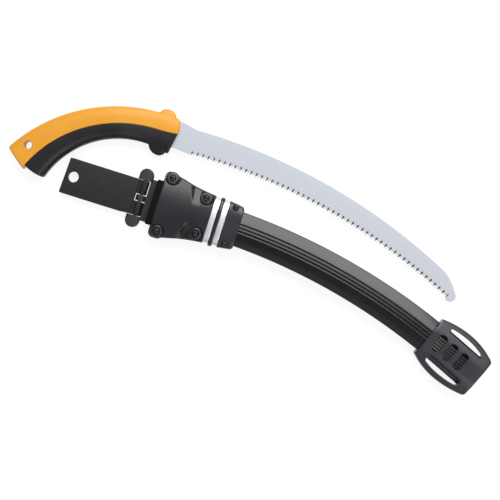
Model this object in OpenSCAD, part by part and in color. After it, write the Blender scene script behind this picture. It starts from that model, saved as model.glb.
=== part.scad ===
// Curved pruning saw lying beside its belt scabbard.
// Millimetres, +Z up. The origin is under the middle of the pair, on the surface they lie on.
// The scabbard is drawn in its own frame: X runs from the belt hanger into the sheath, and z = 0 is
// the plane of the blade slot. The saw has its own frame too: x = 0 is the front of the handle.

/* [Layout] */
// Place of the sheath arc's start along X
scabbard_x = -47; // [-80:0.1:-20]
// Place of the sheath arc's start along Y
scabbard_y = -1.2; // [-20:0.1:10]
// Place of the handle's front along X
saw_x = -111.7; // [-140:0.1:-90]
// Place of the blade's middle line along Y
saw_y = 71.8; // [60:0.1:100]

/* [Blade] */
// Thickness of the blade
blade_t = 1.4; // [1:0.1:2]
// Width of the blade at its crown, tooth tips to spine
blade_w = 26.6; // [22:0.1:29]
// Distance from tooth to tooth
tooth_pitch = 3; // [2.5:0.1:4]
// Depth of the tooth gullets
tooth_depth = 3.6; // [2:0.1:4.5]
// Number of teeth
tooth_count = 105; // [60:1:110]
// Radius of the arc through the tooth tips
tooth_arc_r = 653; // [600:1:720]
// Radius of the spine
spine_arc_r = 635.4; // [590:0.2:700]
// Where the tooth arc peaks, ahead of the handle
tooth_crown_x = 42.1; // [30:0.1:60]
// Where the spine peaks, ahead of the handle
spine_crown_x = 36.1; // [26:0.1:50]
// Bare edge between the handle and the first tooth
heel_len = 20.5; // [12:0.5:30]
// Height of the blade above its middle line where it enters the handle
heel_top = 16.7; // [14:0.1:17.5]
// Depth of the blade below its middle line where it enters the handle
heel_drop = 11.8; // [9:0.1:13]
// Radius of the nose at the tip
nose_r = 6.2; // [4:0.1:8]
// Length of the bare nose past the last tooth
nose_len = 4.2; // [3:0.1:8]

/* [Handle] */
// Radius of the handle's back edge
handle_back_r = 171.2; // [165:0.2:180]
// Height of the back edge above the blade's middle line
handle_top = 20; // [18:0.1:22]
// Distance of the back edge's crown behind the handle's front
handle_crown_x = 19.4; // [15:0.1:25]
// Angle from the crown to the handle's front
handle_front_a = 6.8; // [6.6:0.1:8]
// Angle from the crown to the butt
handle_butt_a = 59.5; // [57.5:0.5:64]
// Radius of the grip's inner edge
grip_in_r = 94.3; // [85:0.1:105]
// Depth of the grip's crown below the blade's middle line
grip_drop = 16; // [15.6:0.1:20]
// Distance of the grip's crown behind the handle's front
grip_crown_x = 30.8; // [26:0.1:36]
// Angle by which the handle's front leads at the split between its shells
front_lead_a = 0.55; // [0:0.05:1]
// Angle by which the back shell's front falls back at its outer edge
front_fall_a = 1; // [0:0.05:1.5]
// Angle by which the grip's front falls back at its inner edge
grip_fall_a = 0.9; // [0:0.05:1.5]
// Angle by which the butt leads at the split between the shells
butt_lead_a = 1; // [0:0.1:1.5]
// Angle by which the grip's butt falls short at its inner edge
grip_short_a = 3.2; // [0:0.1:5]
// Thickness of the handle at the palm
handle_t = 22; // [18:0.5:26]
// Thickness of the handle at its guard
guard_t = 12.6; // [10.6:0.2:15]
// Width of the back shell at the front
back_w = 18.2; // [15:0.2:21]
// How much wider the back shell gets at the butt
back_flare = 8.7; // [4:0.1:10]
// Height of the guard on the back edge
guard_back_h = 5.8; // [2:0.1:8]
// Depth of the guard on the grip edge
guard_grip_h = 9; // [4:0.1:12]
// Angle from the crown to the middle of the guards
guard_a = 1.45; // [0.5:0.05:2.5]
// Half the angle that the guards span
guard_span_a = 3.2; // [2:0.1:4]
// Diameter of the lanyard hole
lanyard_d = 8; // [4:0.5:9]
// Distance of the lanyard hole from the back edge
lanyard_in = 12; // [9:0.5:13]
// Angle from the lanyard hole to the butt
lanyard_a = 6.6; // [4:0.1:8]
// Depth of the flat counterbore round each mouth of the lanyard hole
lanyard_sink = 1; // [0.8:0.1:2]
// Width of the flat counterbore round the lanyard hole
lanyard_rim = 1; // [0.5:0.1:1.6]

/* [Handle core] */
// Cover of the core below the back edge
core_cover = 5.4; // [4.5:0.1:7]
// Width of the core
core_w = 24; // [20:0.5:25]
// Thickness of the core
core_t = 7.2; // [5:0.2:8]
// Angle from the crown to the end of the core
core_end_a = 46; // [36:1:48]
// Width of the blade's tang
tang_w = 16; // [12:0.5:18]
// Angle from the crown to the end of the tang
tang_end_a = 26; // [22:1:32]
// Diameter of the tang rivets
rivet_d = 5; // [3:0.5:6]
// Angle from the crown to the front rivet
rivet_front_a = 5; // [4:0.5:8]
// Angle between the rivets
rivet_step_a = 14; // [8:0.5:15]

/* [Sheath] */
// Radius of the sheath's middle line
sheath_r = 691.3; // [620:0.1:760]
// Angle of the arc from its start to the mouth of the strap end
sheath_a = 21.5; // [15:0.5:23]
// Width of the sheath
sheath_w = 37.8; // [36:0.2:39]
// Thickness of the sheath
sheath_t = 15; // [12:0.2:15.6]
// Thickness of the sheath along its two edges
sheath_edge_t = 7.8; // [6:0.2:9]
// Width of the flat panel along the middle
sheath_flat_w = 13; // [10.6:0.2:16]
// Wall along the two edges
sheath_wall = 3; // [1.5:0.1:3.4]
// Width of the narrow tail inside the strap end
tail_w = 31; // [28:0.2:33]
// Thickness of the slot for the blade
slot_t = 6.8; // [5:0.2:7]
// Width of the decorative grooves
groove_w = 1.1; // [0.6:0.1:1.4]
// Depth of the decorative grooves
groove_depth = 0.6; // [0.2:0.1:0.8]
// Distance of the first groove from the flat panel's edge
groove_in = 1.7; // [1:0.1:2.2]
// Spacing of the first two grooves
groove_step = 4.2; // [2:0.1:4.6]
// Spacing of the last two grooves
groove_last_step = 3.6; // [2:0.1:4]

/* [Throat] */
// Distance from the start of the sheath's arc back to the mouth of the housing
throat_mouth = 62.7; // [55:0.1:70]
// Distance from the start of the sheath's arc back to the housing's tail
throat_tail = 5; // [3:0.1:6]
// Width of the housing over its corner bosses
throat_mouth_w = 73.4; // [70:0.2:80]
// Width of the housing at its tail
throat_tail_w = 52.4; // [50.5:0.2:60]
// Height of the housing in front of the blade slot
throat_front_h = 11; // [10:0.1:13]
// Depth of the housing behind the blade slot
throat_back_h = 15; // [14.4:0.1:18]
// Height of the housing's outer edge in front of the blade slot
throat_edge_h = 6.5; // [5:0.1:8]
// Width of the blade slot in the throat
throat_slot_w = 32.8; // [31.5:0.1:33.4]
// Radius of the corner bosses
boss_r = 7; // [6:0.1:8]
// Radius of the tail bosses
tail_boss_r = 6.5; // [5:0.1:7]
// Distance from the start of the sheath's arc back to the tail bosses
tail_boss_x = 14.2; // [13:0.1:16]
// Spacing of the tail bosses
tail_boss_w = 39.4; // [38.6:0.1:41]
// Radius of the finger scoops
scoop_r = 7; // [5:0.1:8]
// Depth of the finger scoops
scoop_depth = 3.6; // [2:0.1:4]
// Distance from the start of the sheath's arc back to the finger scoops
scoop_x = 27.5; // [26:0.1:29]
// Half of the bare width between the finger scoops
scoop_gap = 12; // [9:0.5:16]
// Depth that the sheath enters the housing past its tail
sheath_entry = 3.6; // [2:0.1:5]

/* [Mouth lip] */
// Length of the rubber lip ahead of the mouth
lip_len = 6; // [4:0.1:7]
// Width of the rubber lip
lip_w = 49; // [44:0.2:52]
// Height of the lip in front of the blade slot
lip_front_h = 9.6; // [7:0.1:10.6]
// Depth of the lip's plug in the mouth
lip_plug = 3; // [2:0.1:4]
// Wall of the lip's plug round the slot
lip_plug_wall = 3; // [2:0.1:3.4]

/* [Guide rollers] */
// Diameter of the guide rollers
roller_d = 10.8; // [9:0.2:11.4]
// Height of the guide rollers
roller_h = 10; // [8:0.2:11]
// Distance from the start of the sheath's arc back to the rollers
roller_x = 41; // [40.4:0.1:43]
// How far the rollers stand into the slot
roller_proud = 0.8; // [0.2:0.1:1.2]
// Diameter of the roller axles
axle_d = 3; // [2:0.1:4]
// Depth of each axle end in its shell
axle_seat = 2.2; // [1.5:0.1:2.6]

/* [Belt hanger] */
// Distance from the start of the sheath's arc back to the hinge
hinge_x = 82; // [80:0.1:84]
// Diameter of the hinge knuckles
knuckle_d = 8.4; // [7:0.1:9]
// Diameter of the hinge pin
pin_d = 4; // [3:0.1:4.6]
// Width of the middle knuckle
knuckle_w = 6.4; // [5:0.1:8]
// Gap beside the middle knuckle
knuckle_gap = 1.2; // [0.6:0.1:2]
// Width of the hanger
hanger_w = 38.4; // [34:0.2:39]
// Length of the hanger from the hinge to its far end
hanger_len = 82.7; // [76:0.1:90]
// Thickness of the hanger over both plates
hanger_t = 11; // [9.6:0.1:12]
// Distance from the hinge to the hanger's plates
hanger_neck = 6; // [5:0.1:6.5]
// Thickness of the hanger's back plate
hanger_back_t = 2.5; // [2:0.1:2.8]
// Thickness of the hanger's front plate
hanger_front_t = 3; // [2:0.1:3]
// Length of the wall next to the hinge
hanger_wall = 5; // [3:0.5:8]
// Length of the solid end that holds the hole
hanger_end = 17; // [16:0.5:22]
// Diameter of the hanger's hole
hanger_hole_d = 12.4; // [8:0.1:13]
// Distance of the hanger's hole from its far end
hanger_hole_in = 8.5; // [7.6:0.1:9]
// Distance from the hinge to the bracket's plate
bracket_neck = 5.6; // [5:0.1:7]
// Length of the bracket's plate
bracket_len = 36.2; // [33:0.2:37]
// Width of the bracket's plate
bracket_w = 44.6; // [42:0.2:46]
// Thickness of the bracket's plate
bracket_t = 3.6; // [2.6:0.1:3.8]
// Height of the bracket's plate above the housing's back
bracket_lift = 1.6; // [1.5:0.1:2]
// Radius of the bracket's ears
ear_r = 7.5; // [6.5:0.1:8.5]
// Distance of the ears' outer ends from the middle
ear_reach = 31.7; // [30.5:0.1:34]
// Gap between the hanger and the ears
ear_gap = 0.8; // [0.4:0.1:1.2]
// Width of the webs that carry the ears
ear_web_w = 2.3; // [1.5:0.1:4]
// Distance of the bracket screws from the hinge
bracket_screw_x = 31; // [29.4:0.5:34]
// Spacing of the bracket screws
bracket_screw_w = 24; // [16:0.5:30]

/* [Bands and collar] */
// Length of each polished band
band_len = 6.1; // [4:0.1:7]
// Length of the spacer ring
spacer_len = 4.1; // [3:0.1:6]
// Width of the bands
band_w = 51.4; // [50:0.2:53]
// Thickness of the bands' wall
band_wall = 1.6; // [1:0.1:1.9]
// Height of the bands
band_t = 21; // [20.4:0.1:21.6]
// Width of the spacer ring
spacer_w = 53.6; // [52:0.2:56]
// Height of the spacer ring
spacer_t = 22; // [21:0.2:24]
// Length of the collar
collar_len = 16.5; // [14:0.1:20]
// Wall outside the collar screws at the bands
collar_wall = 4.6; // [4.2:0.1:6]
// Wall outside the collar screws at the collar's far end
collar_end_wall = 2.2; // [1.8:0.1:4]
// Height of the collar
collar_t = 21; // [20:0.2:22]
// Distance of the collar screws from the bands
collar_screw_x = 7; // [6:0.1:9]
// Distance of the collar screws from the sheath's sides
collar_screw_out = 2.1; // [1.9:0.1:2.6]

/* [Strap end] */
// Length of the strap end along the sheath
end_len = 69; // [62:0.5:80]
// Half-width of the strap end at its mouth
end_mouth_w = 22.7; // [21.5:0.1:24]
// Half-width of the strap end at its widest
end_w = 28.7; // [27.5:0.1:32]
// Half-width of the strap end at its far end
end_tip_w = 22.8; // [21:0.1:26]
// Distance from the mouth to the widest place
end_belly = 30; // [24:0.5:38]
// Radius of the far corners
end_corner_r = 5; // [3:0.5:8]
// Height of the strap end in front of the blade slot
end_front_h = 10.6; // [10:0.1:12]
// Half-width of the raised middle of the strap end
end_crown_w = 11; // [9:0.5:13]
// Height of the strap end's wings in front of the blade slot
end_wing_h = 6; // [5:0.1:8]
// Fall of the wings' front towards their edges
wing_fall = 1; // [0:0.1:2]
// Fall of the wings' back towards the middle
wing_keel = 2; // [0:0.1:3]
// How much wider the raised middle is at the back
end_keel = 1; // [0:0.1:2]
// Depth that the sheath's full width enters the strap end
end_entry = 9; // [6:0.5:9.5]
// Depth that the sheath's narrow tail enters the strap end
end_socket = 53; // [50:0.5:56]
// Distance of the strap slots' inner edge from the middle
strap_slot_in = 18.4; // [17.6:0.1:19.8]
// Wall outside the strap slots
strap_bar = 3.9; // [3:0.1:5]
// Distance from the mouth to the strap slots
strap_slot_start = 13; // [10:0.5:16]
// Length of the strap slots
strap_slot_len = 43; // [36:0.5:45]
// Length of each window
window_len = 9; // [6:0.5:11]
// Width of the windows
window_w = 19; // [14:0.5:21]
// Distance from the mouth to the first window's middle
window_start = 15; // [13:0.5:18]
// Spacing of the windows
window_step = 14.7; // [13:0.1:16]
// Corner radius of the windows
window_r = 3.6; // [1:0.1:4]

/* [Fasteners] */
// Diameter of the screw shanks
screw_d = 3; // [2:0.1:3.2]
// Diameter of the screw heads
screw_head_d = 6.4; // [5:0.1:7]
// Height of the screw heads
screw_head_h = 2.2; // [1.5:0.1:2.5]
// Depth of the screw heads below the surface
screw_sink = 0.3; // [0.1:0.1:0.5]
// Diameter of the collar screws' shanks
collar_screw_d = 2.4; // [1.8:0.1:2.6]
// Diameter of the brass inserts
insert_d = 4.8; // [4.2:0.1:5.4]
// Length of the brass inserts
insert_len = 7; // [5:0.5:8]
// Width of the collar nuts across their corners
nut_d = 5.6; // [4.8:0.1:6]
// Height of the collar nuts
nut_h = 2.4; // [1.8:0.1:3]

/* [Fits] */
// Gap where one still piece sits in another
seat_gap = 0.08; // [0.04:0.01:0.12]
// Radial gap of a turning fit
run_gap = 0.05; // [0.02:0.01:0.09]
// Radial gap of a pin held still
pin_gap = 0.02; // [0.01:0.01:0.04]
// Gap round the turning rollers
roller_gap = 0.3; // [0.2:0.05:0.5]

/* [Hidden] */
$fn = 64;

// Facets of a long arc, and of a small corner in an outline
long_arc_fn = 360;
corner_steps = 6;
// Stations and rows of the handle's skin, and the sharpness of its rounded section
handle_stations = 40;
guard_stations = 16;
// Angle from the handle's front that takes in the guards
guard_zone_a = 9;
skin_rows = 9;
skin_power = 4;
// Angle over which the handle swells from its guard to its palm
swell_a = 18;
// How the back shell widens towards the butt
flare_power = 2.4;
// A cut runs this far past the face it opens
over = 1;
// Corner radii of the spigot, the bands, the spacer ring, the lip and the collar
spigot_r = 3;
band_r = 5;
spacer_r = 6;
lip_r = 3;
collar_r = 5;
collar_corner_r = 3;

// Handle
handle_c = [-handle_crown_x, handle_top - handle_back_r];
grip_c = [-grip_crown_x, -grip_drop - grip_in_r];
split_r = handle_back_r - back_w;
core_out_r = handle_back_r - core_cover;
core_in_r = core_out_r - core_w;
core_mid_r = (core_out_r + core_in_r) / 2;
lanyard_at_a = handle_butt_a - lanyard_a;
// The blade's heel block ends here inside the handle, and the core starts just behind it
heel_in = 9;
// The blade's room runs this far past the handle's front
front_reach = 4;
core_start_a = asin((handle_crown_x - heel_in - over) / core_out_r);

// Scabbard
throat_x0 = -throat_mouth;
throat_x1 = -throat_tail;
corner_boss = [throat_x0 + boss_r, throat_mouth_w / 2 - boss_r];
tail_boss = [-tail_boss_x, tail_boss_w / 2];
// The corner bosses stand this far below the housing's crown
corner_boss_fall = 1.8;
corner_boss_h = throat_front_h - corner_boss_fall;
tail_boss_h = throat_front_h;
// The housing's crown runs this far past the inner ends of the finger scoops
crown_past_scoop = 3;
// The flat of the housing's back ends this far inside its tail, and slopes to this share of its depth
keel_in = 1;
keel_edge = 0.7;
band_x0 = throat_x1;
spacer_x0 = band_x0 + band_len;
spacer_x1 = spacer_x0 + spacer_len;
collar_x0 = spacer_x1 + band_len;
spigot_w = band_w - 2 * band_wall - 2 * seat_gap;
spigot_t = band_t - 2 * band_wall - 2 * seat_gap;
collar_screw_w = sheath_w + 2 * collar_screw_out;
collar_w = collar_screw_w + 2 * collar_wall;
collar_end_w = collar_screw_w + 2 * collar_end_wall;
collar_hole = [collar_x0 + collar_screw_x, collar_screw_w / 2];
sheath_start_a = -asin((throat_tail + sheath_entry) / sheath_r);
mm_a = 180 / (PI * sheath_r);
sheath_wide_a = sheath_a + end_entry * mm_a;
sheath_end_a = sheath_a + end_socket * mm_a;
roller_y = throat_slot_w / 2 - roller_proud + roller_d / 2;
axle_half = roller_h / 2 + roller_gap + axle_seat;
back_z = -throat_back_h;
bracket_z = back_z + bracket_lift;
bracket_top = bracket_z + bracket_t;
hinge_z = back_z + knuckle_d / 2 + pin_gap;
// The ears close over the ends of the pin by this much
pin_cover = 2;
pin_half = ear_reach - pin_cover;
ear_y = ear_reach - ear_r;
ear_in = hanger_w / 2 + ear_gap;
hanger_x1 = -hinge_x - hanger_neck;
hanger_x0 = -hinge_x - hanger_len;
bracket_x0 = -hinge_x + bracket_neck;
bracket_x1 = bracket_x0 + bracket_len;
// The arms of the plate that carry the ears' webs stay ahead of the housing
ear_arm = throat_x0 - bracket_x0 - over;
bracket_screw = [-hinge_x + bracket_screw_x, bracket_screw_w / 2];
bracket_head_h = bracket_lift - screw_sink;
// Length of the bracket screws past the plate
bracket_screw_bite = 4.5;
bracket_screw_end = bracket_top + bracket_screw_bite;
end_tip_a = sheath_a + end_len * mm_a;

// Curves

function smooth(x) = let (t = min(max(x, 0), 1)) t * t * (3 - 2 * t);

// Points of an arc from angle a0 to a1
function arc(c, r, a0, a1, steps) = [
    for (i = [0 : steps])
        let (a = a0 + (a1 - a0) * i / steps)
        c + r * [cos(a), sin(a)]
];

// Points of a curve that leaves p0 towards p1 and arrives at p2
function bend(p0, p1, p2, steps) = [
    for (i = [1 : steps])
        let (t = i / steps)
        (1 - t) * (1 - t) * p0 + 2 * t * (1 - t) * p1 + t * t * p2
];

// Outline of a rectangle with round corners, from its half-width and half-height
function round_rect(hw, hh, r) = concat(
    arc([hw - r, hh - r], r, 0, 90, corner_steps),
    arc([r - hw, hh - r], r, 90, 180, corner_steps),
    arc([r - hw, r - hh], r, 180, 270, corner_steps),
    arc([hw - r, r - hh], r, 270, 360, corner_steps)
);

// Direction at an angle from +Y towards +X
function heading(a) = [sin(a), cos(a)];

// Point on the sheath: angle along its arc and distance across it
function sheath_pt(a, across) = [0, -sheath_r] + (sheath_r + across) * heading(a);

// Frames

module in_saw() {
    translate([saw_x, saw_y, handle_t / 2]) children();
}

module in_scabbard() {
    translate([scabbard_x, scabbard_y, throat_back_h]) children();
}

// Sweeps a section about the handle's centre, from one angle to another
module round_handle(a0, a1) {
    translate(handle_c)
        rotate(90 - a1)
            rotate_extrude(angle = a1 - a0, $fn = long_arc_fn) children();
}

// Sweeps a section along the sheath's arc
module along_sheath(a0, a1) {
    translate([0, -sheath_r])
        rotate(90 - a1)
            rotate_extrude(angle = a1 - a0, $fn = long_arc_fn)
                translate([sheath_r, 0]) children();
}

// Extrudes an outline drawn in Y and Z along X
module along_x(x0, x1) {
    translate([x0, 0, 0])
        rotate([90, 0, 90])
            linear_extrude(x1 - x0) children();
}

// Cylinder from z0 to z1 at a point in plan
module post(at, d, z0, z1) {
    translate([at[0], at[1], z0]) cylinder(d = d, h = z1 - z0);
}

// Cylinder along Y about the hinge, between two places
module hinge_rod(d, y0, y1) {
    translate([-hinge_x, y1, hinge_z])
        rotate([90, 0, 0])
            cylinder(d = d, h = y1 - y0);
}

// Copies on both sides of the middle line
module both_sides() {
    children();
    mirror([0, 1, 0]) children();
}

// Blade

tooth_c = [tooth_crown_x, -blade_w / 2 - tooth_arc_r];
spine_c = [spine_crown_x, blade_w / 2 - spine_arc_r];
tooth_step_a = tooth_pitch / tooth_arc_r * 180 / PI;
tooth_a0 = asin((heel_len - tooth_crown_x) / tooth_arc_r);
tooth_a1 = tooth_a0 + (tooth_count - 1) * tooth_step_a;
// A pull tooth: its steep face looks towards the handle
tooth_rake = 0.3;
nose_c = tooth_c + (tooth_arc_r + nose_r) * heading(tooth_a1 + nose_len / tooth_arc_r * 180 / PI);
// The spine turns into the nose this far before the nose's centre
nose_run = 21;
spine_a1 = asin((nose_c[0] - nose_run - spine_crown_x) / spine_arc_r);
spine_end = spine_c + spine_arc_r * heading(spine_a1);
nose_top = nose_c + nose_r * [cos(20), sin(20)];
// The spine drops from the handle to its arc over this length
heel_run = 22;
// The bare edge meets the first tooth this far below the tips
heel_step = 0.2;
spine_a0 = asin((heel_run - spine_crown_x) / spine_arc_r);
spine_start = spine_c + spine_arc_r * heading(spine_a0);

function tooth_row() = [
    for (i = [tooth_count - 1 : -1 : 0])
        let (a = tooth_a0 + i * tooth_step_a)
        each [
            tooth_c + (tooth_arc_r + tooth_depth) * heading(a + (1 - tooth_rake) * tooth_step_a),
            tooth_c + tooth_arc_r * heading(a)
        ]
];

function blade_outline() = concat(
    [[-heel_in, heel_top], [0, heel_top]],
    bend([0, heel_top], [heel_run / 2, heel_top], (([heel_run / 2, heel_top] + spine_start) / 2), 4),
    bend(([heel_run / 2, heel_top] + spine_start) / 2, [heel_run * 0.8, spine_start[1]], spine_start, 4),
    arc(spine_c, spine_arc_r, 90 - spine_a0, 90 - spine_a1, 60),
    bend(spine_end, spine_end + nose_run * 0.8 * [cos(spine_a1), -sin(spine_a1)], nose_top, 8),
    arc(nose_c, nose_r, 12, -100, 10),
    tooth_row(),
    [[heel_len - tooth_pitch, -blade_w / 2 - heel_step], [0, -heel_drop], [-heel_in, -heel_drop]]
);

module rivet_row(d, z0, z1) {
    for (i = [0, 1])
        post(handle_c + core_mid_r * heading(-rivet_front_a - i * rivet_step_a), d, z0, z1);
}

module blade() {
    color("lightsteelblue")
        in_saw()
            difference() {
                union() {
                    translate([0, 0, -blade_t / 2])
                        linear_extrude(blade_t) polygon(blade_outline());
                    round_handle(-tang_end_a, core_start_a + 1)
                        translate([core_mid_r - tang_w / 2, -blade_t / 2])
                            square([tang_w, blade_t]);
                }
                rivet_row(rivet_d + 2 * pin_gap, -core_t, core_t);
            }
}

// Handle

module handle_core() {
    color("dimgray")
        in_saw()
            difference() {
                round_handle(-core_end_a, core_start_a)
                    translate([core_in_r, -core_t / 2])
                        square([core_w, core_t]);
                round_handle(-tang_end_a - seat_gap, core_start_a + over)
                    translate([core_mid_r - tang_w / 2 - seat_gap, -blade_t / 2 - seat_gap])
                        square([tang_w + 2 * seat_gap, blade_t + 2 * seat_gap]);
                rivet_row(rivet_d + 2 * pin_gap, -core_t, core_t);
            }
}

module tang_rivets() {
    color("silver")
        in_saw() rivet_row(rivet_d, -core_t / 2, core_t / 2);
}

function guard_bump(a, h) =
    abs(a - guard_a) < guard_span_a ? h * pow(cos(90 * (a - guard_a) / guard_span_a), 2) : 0;

function back_edge(a) = handle_back_r + guard_bump(a, guard_back_h);

// The grip's inner edge is a circle of its own, seen from the handle's centre
function grip_edge(a) =
    let (d = grip_c - handle_c)
    let (k = d * heading(a))
    k + sqrt(grip_in_r * grip_in_r - d * d + k * k) - guard_bump(a, guard_grip_h);

function split_edge(a) = split_r - back_flare * pow(max(0, -a) / handle_butt_a, flare_power);

function half_t(a) = guard_t / 2 + (handle_t - guard_t) / 2 * smooth(-a / swell_a);

// Height of the handle's skin at a radius
function skin_z(a, r) =
    let (mid = (back_edge(a) + grip_edge(a)) / 2)
    let (u = min(1, abs(r - mid) / (back_edge(a) - mid)))
    half_t(a) * pow(1 - pow(u, skin_power), 1 / skin_power);

function handle_pt(a, r, z) = concat(handle_c + r * heading(a), [z]);

// Angles of the front and the butt, at the split and at each shell's outer edge
split_ends = [handle_front_a + front_lead_a, -handle_butt_a - butt_lead_a];
back_ends = [handle_front_a - front_fall_a, -handle_butt_a];
grip_ends = [handle_front_a + front_lead_a - grip_fall_a, grip_short_a - handle_butt_a];

// A point of one shell's skin: a share t along the handle, and a row from the split to the outer edge
function skin_pt(t, row, back, face) =
    let (u = sin(90 * row / skin_rows))
    let (ends = split_ends + ((back ? back_ends : grip_ends) - split_ends) * u)
    let (a = ends[0] + (ends[1] - ends[0]) * t)
    let (edge = back ? back_edge(a) : grip_edge(a))
    let (r = split_edge(a) + (edge - split_edge(a)) * u)
    handle_pt(a, r, row == skin_rows ? 0 : face * skin_z(a, r));

// One rounded section between the split and an outer edge
function skin_ring(t, back) = concat(
    [for (row = [0 : skin_rows]) skin_pt(t, row, back, 1)],
    [for (row = [skin_rows - 1 : -1 : 0]) skin_pt(t, row, back, -1)]
);

// Shares along the handle, closer together over the guards
function station(i) =
    let (zone = guard_zone_a / (handle_front_a + handle_butt_a))
    i < guard_stations
        ? zone * i / guard_stations
        : zone + (1 - zone) * (i - guard_stations) / (handle_stations - guard_stations);

// A closed skin over a row of rings
module skin(rings, flip) {
    n = len(rings[0]);
    last = (len(rings) - 1) * n;
    side = [
        for (i = [0 : len(rings) - 2])
            for (j = [0 : n - 1])
                let (k = (j + 1) % n)
                each [
                    [i * n + j, i * n + k, (i + 1) * n + k],
                    [i * n + j, (i + 1) * n + k, (i + 1) * n + j]
                ]
    ];
    caps = [
        [for (j = [n - 1 : -1 : 0]) j],
        [for (j = [0 : n - 1]) last + j]
    ];
    faces = concat(side, caps);
    polyhedron(
        points = [for (ring = rings) each ring],
        faces = flip ? [for (f = faces) [for (j = [len(f) - 1 : -1 : 0]) f[j]]] : faces
    );
}

// The room that the core and the blade's heel take inside the handle
module handle_seat() {
    round_handle(-core_end_a - seat_gap, core_start_a + seat_gap)
        translate([core_in_r - seat_gap, -core_t / 2 - seat_gap])
            square([core_w + 2 * seat_gap, core_t + 2 * seat_gap]);
    translate([-heel_in - 2 * over, -heel_drop - seat_gap, -blade_t / 2 - seat_gap])
        cube([heel_in + 2 * over + front_reach, heel_top + heel_drop + 2 * seat_gap, blade_t + 2 * seat_gap]);
}

module lanyard_hole() {
    at = handle_c + (handle_back_r - lanyard_in) * heading(-lanyard_at_a);
    flat_z = handle_t / 2 - lanyard_sink;
    post(at, lanyard_d, -handle_t, handle_t);
    post(at, lanyard_d + 2 * lanyard_rim, flat_z, handle_t);
    post(at, lanyard_d + 2 * lanyard_rim, -handle_t, -flat_z);
}

module handle_back() {
    color("orange")
        in_saw()
            difference() {
                skin([for (i = [0 : handle_stations]) skin_ring(station(i), true)], true);
                handle_seat();
                lanyard_hole();
            }
}

module rubber_grip() {
    color([0.17, 0.16, 0.19])
        in_saw()
            difference() {
                skin([for (i = [0 : handle_stations]) skin_ring(station(i), false)], false);
                handle_seat();
            }
}

// Sheath

sheath_hh = sheath_t / 2;
edge_hh = sheath_edge_t / 2;
flat_hw = sheath_flat_w / 2;
slot_hh = slot_t / 2;
// Where the grooves run, measured across the sheath from the middle line
groove_1 = flat_hw - groove_in;
groove_2 = groove_1 - groove_step;
groove_places = [groove_1, groove_2, groove_2 - groove_last_step];

// Height of the sheath's sloped shoulder at a distance from the middle line
function shoulder_h(across) =
    sheath_hh - (sheath_hh - edge_hh) * (across - flat_hw) / (sheath_w / 2 - flat_hw);

// Outer section of the whole sheath from its half-width, grown by a clearance
function sheath_section(hw, grow) = [
    [hw + grow, -shoulder_h(hw)], [hw + grow, shoulder_h(hw)],
    [flat_hw, sheath_hh + grow], [-flat_hw, sheath_hh + grow],
    [-hw - grow, shoulder_h(hw)], [-hw - grow, -shoulder_h(hw)],
    [-flat_hw, -sheath_hh - grow], [flat_hw, -sheath_hh - grow]
];

// Section of one half, with grooves along its flat panel
function half_sheath_section() = concat(
    [[sheath_w / 2, 0], [sheath_w / 2, edge_hh], [flat_hw, sheath_hh]],
    [for (g = groove_places) each [
        [g + groove_w / 2, sheath_hh],
        [g, sheath_hh - groove_depth],
        [g - groove_w / 2, sheath_hh]
    ]],
    [[-flat_hw, sheath_hh], [-sheath_w / 2, edge_hh], [-sheath_w / 2, 0]]
);

// Half of the room for the blade, from the sheath's half-width
module half_slot(hw) {
    translate([sheath_wall - hw, -over])
        square([2 * (hw - sheath_wall), slot_hh + over]);
}

// Half of the sheath in front of the slot: the full width, then the narrow tail
module half_sheath() {
    past_end_a = sheath_end_a + over * mm_a;
    slot_end_a = sheath_wide_a - sheath_wall * mm_a;
    flank_w = (sheath_w - tail_w) / 2 + over;
    difference() {
        along_sheath(sheath_start_a, sheath_end_a) polygon(half_sheath_section());
        along_sheath(sheath_start_a - over * mm_a, slot_end_a) half_slot(sheath_w / 2);
        along_sheath(slot_end_a - over * mm_a, past_end_a) half_slot(tail_w / 2);
        along_sheath(sheath_wide_a, past_end_a)
            translate([tail_w / 2, -over]) square([flank_w, sheath_t]);
        along_sheath(sheath_wide_a, past_end_a)
            translate([-tail_w / 2 - flank_w, -over]) square([flank_w, sheath_t]);
    }
}

module sheath_front() {
    color([0.1, 0.1, 0.11])
        in_scabbard() half_sheath();
}

module sheath_back() {
    color([0.12, 0.12, 0.13])
        in_scabbard()
            mirror([0, 0, 1]) half_sheath();
}

// The room that the sheath takes in what holds it
module sheath_seat() {
    gap_a = seat_gap * mm_a;
    along_sheath(sheath_start_a - gap_a, sheath_wide_a + gap_a)
        polygon(sheath_section(sheath_w / 2, seat_gap));
    along_sheath(sheath_wide_a, sheath_end_a + gap_a)
        polygon(sheath_section(tail_w / 2, seat_gap));
}

// Throat

function throat_side(x) =
    let (t = (throat_x1 - x) / (throat_x1 - corner_boss[0]))
    throat_tail_w / 2 + (throat_mouth_w - throat_tail_w) / 2 * t * t;

// Half of the housing's plan: a hollow flank, then a round corner
function throat_flank() = concat(
    [for (i = [0 : 12])
        let (x = throat_x1 + (corner_boss[0] - throat_x1) * i / 12)
        [x, throat_side(x)]],
    arc(corner_boss, boss_r, 100, 180, corner_steps)
);

function throat_plan() = concat(
    throat_flank(),
    [for (i = [len(throat_flank()) - 1 : -1 : 0]) [throat_flank()[i][0], -throat_flank()[i][1]]]
);

// Height of the housing's crown, shoulder and edge in front of the slot
function throat_dome() =
    let (edge = throat_mouth_w / 2 + over)
    let (crown = scoop_gap + crown_past_scoop)
    let (shoulder = (crown + edge) / 2)
    let (shoulder_h = (throat_front_h * 2 + throat_edge_h) / 3)
    [[edge, 0], [edge, throat_edge_h], [shoulder, shoulder_h], [crown, throat_front_h],
     [-crown, throat_front_h], [-shoulder, shoulder_h], [-edge, throat_edge_h], [-edge, 0]];

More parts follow.
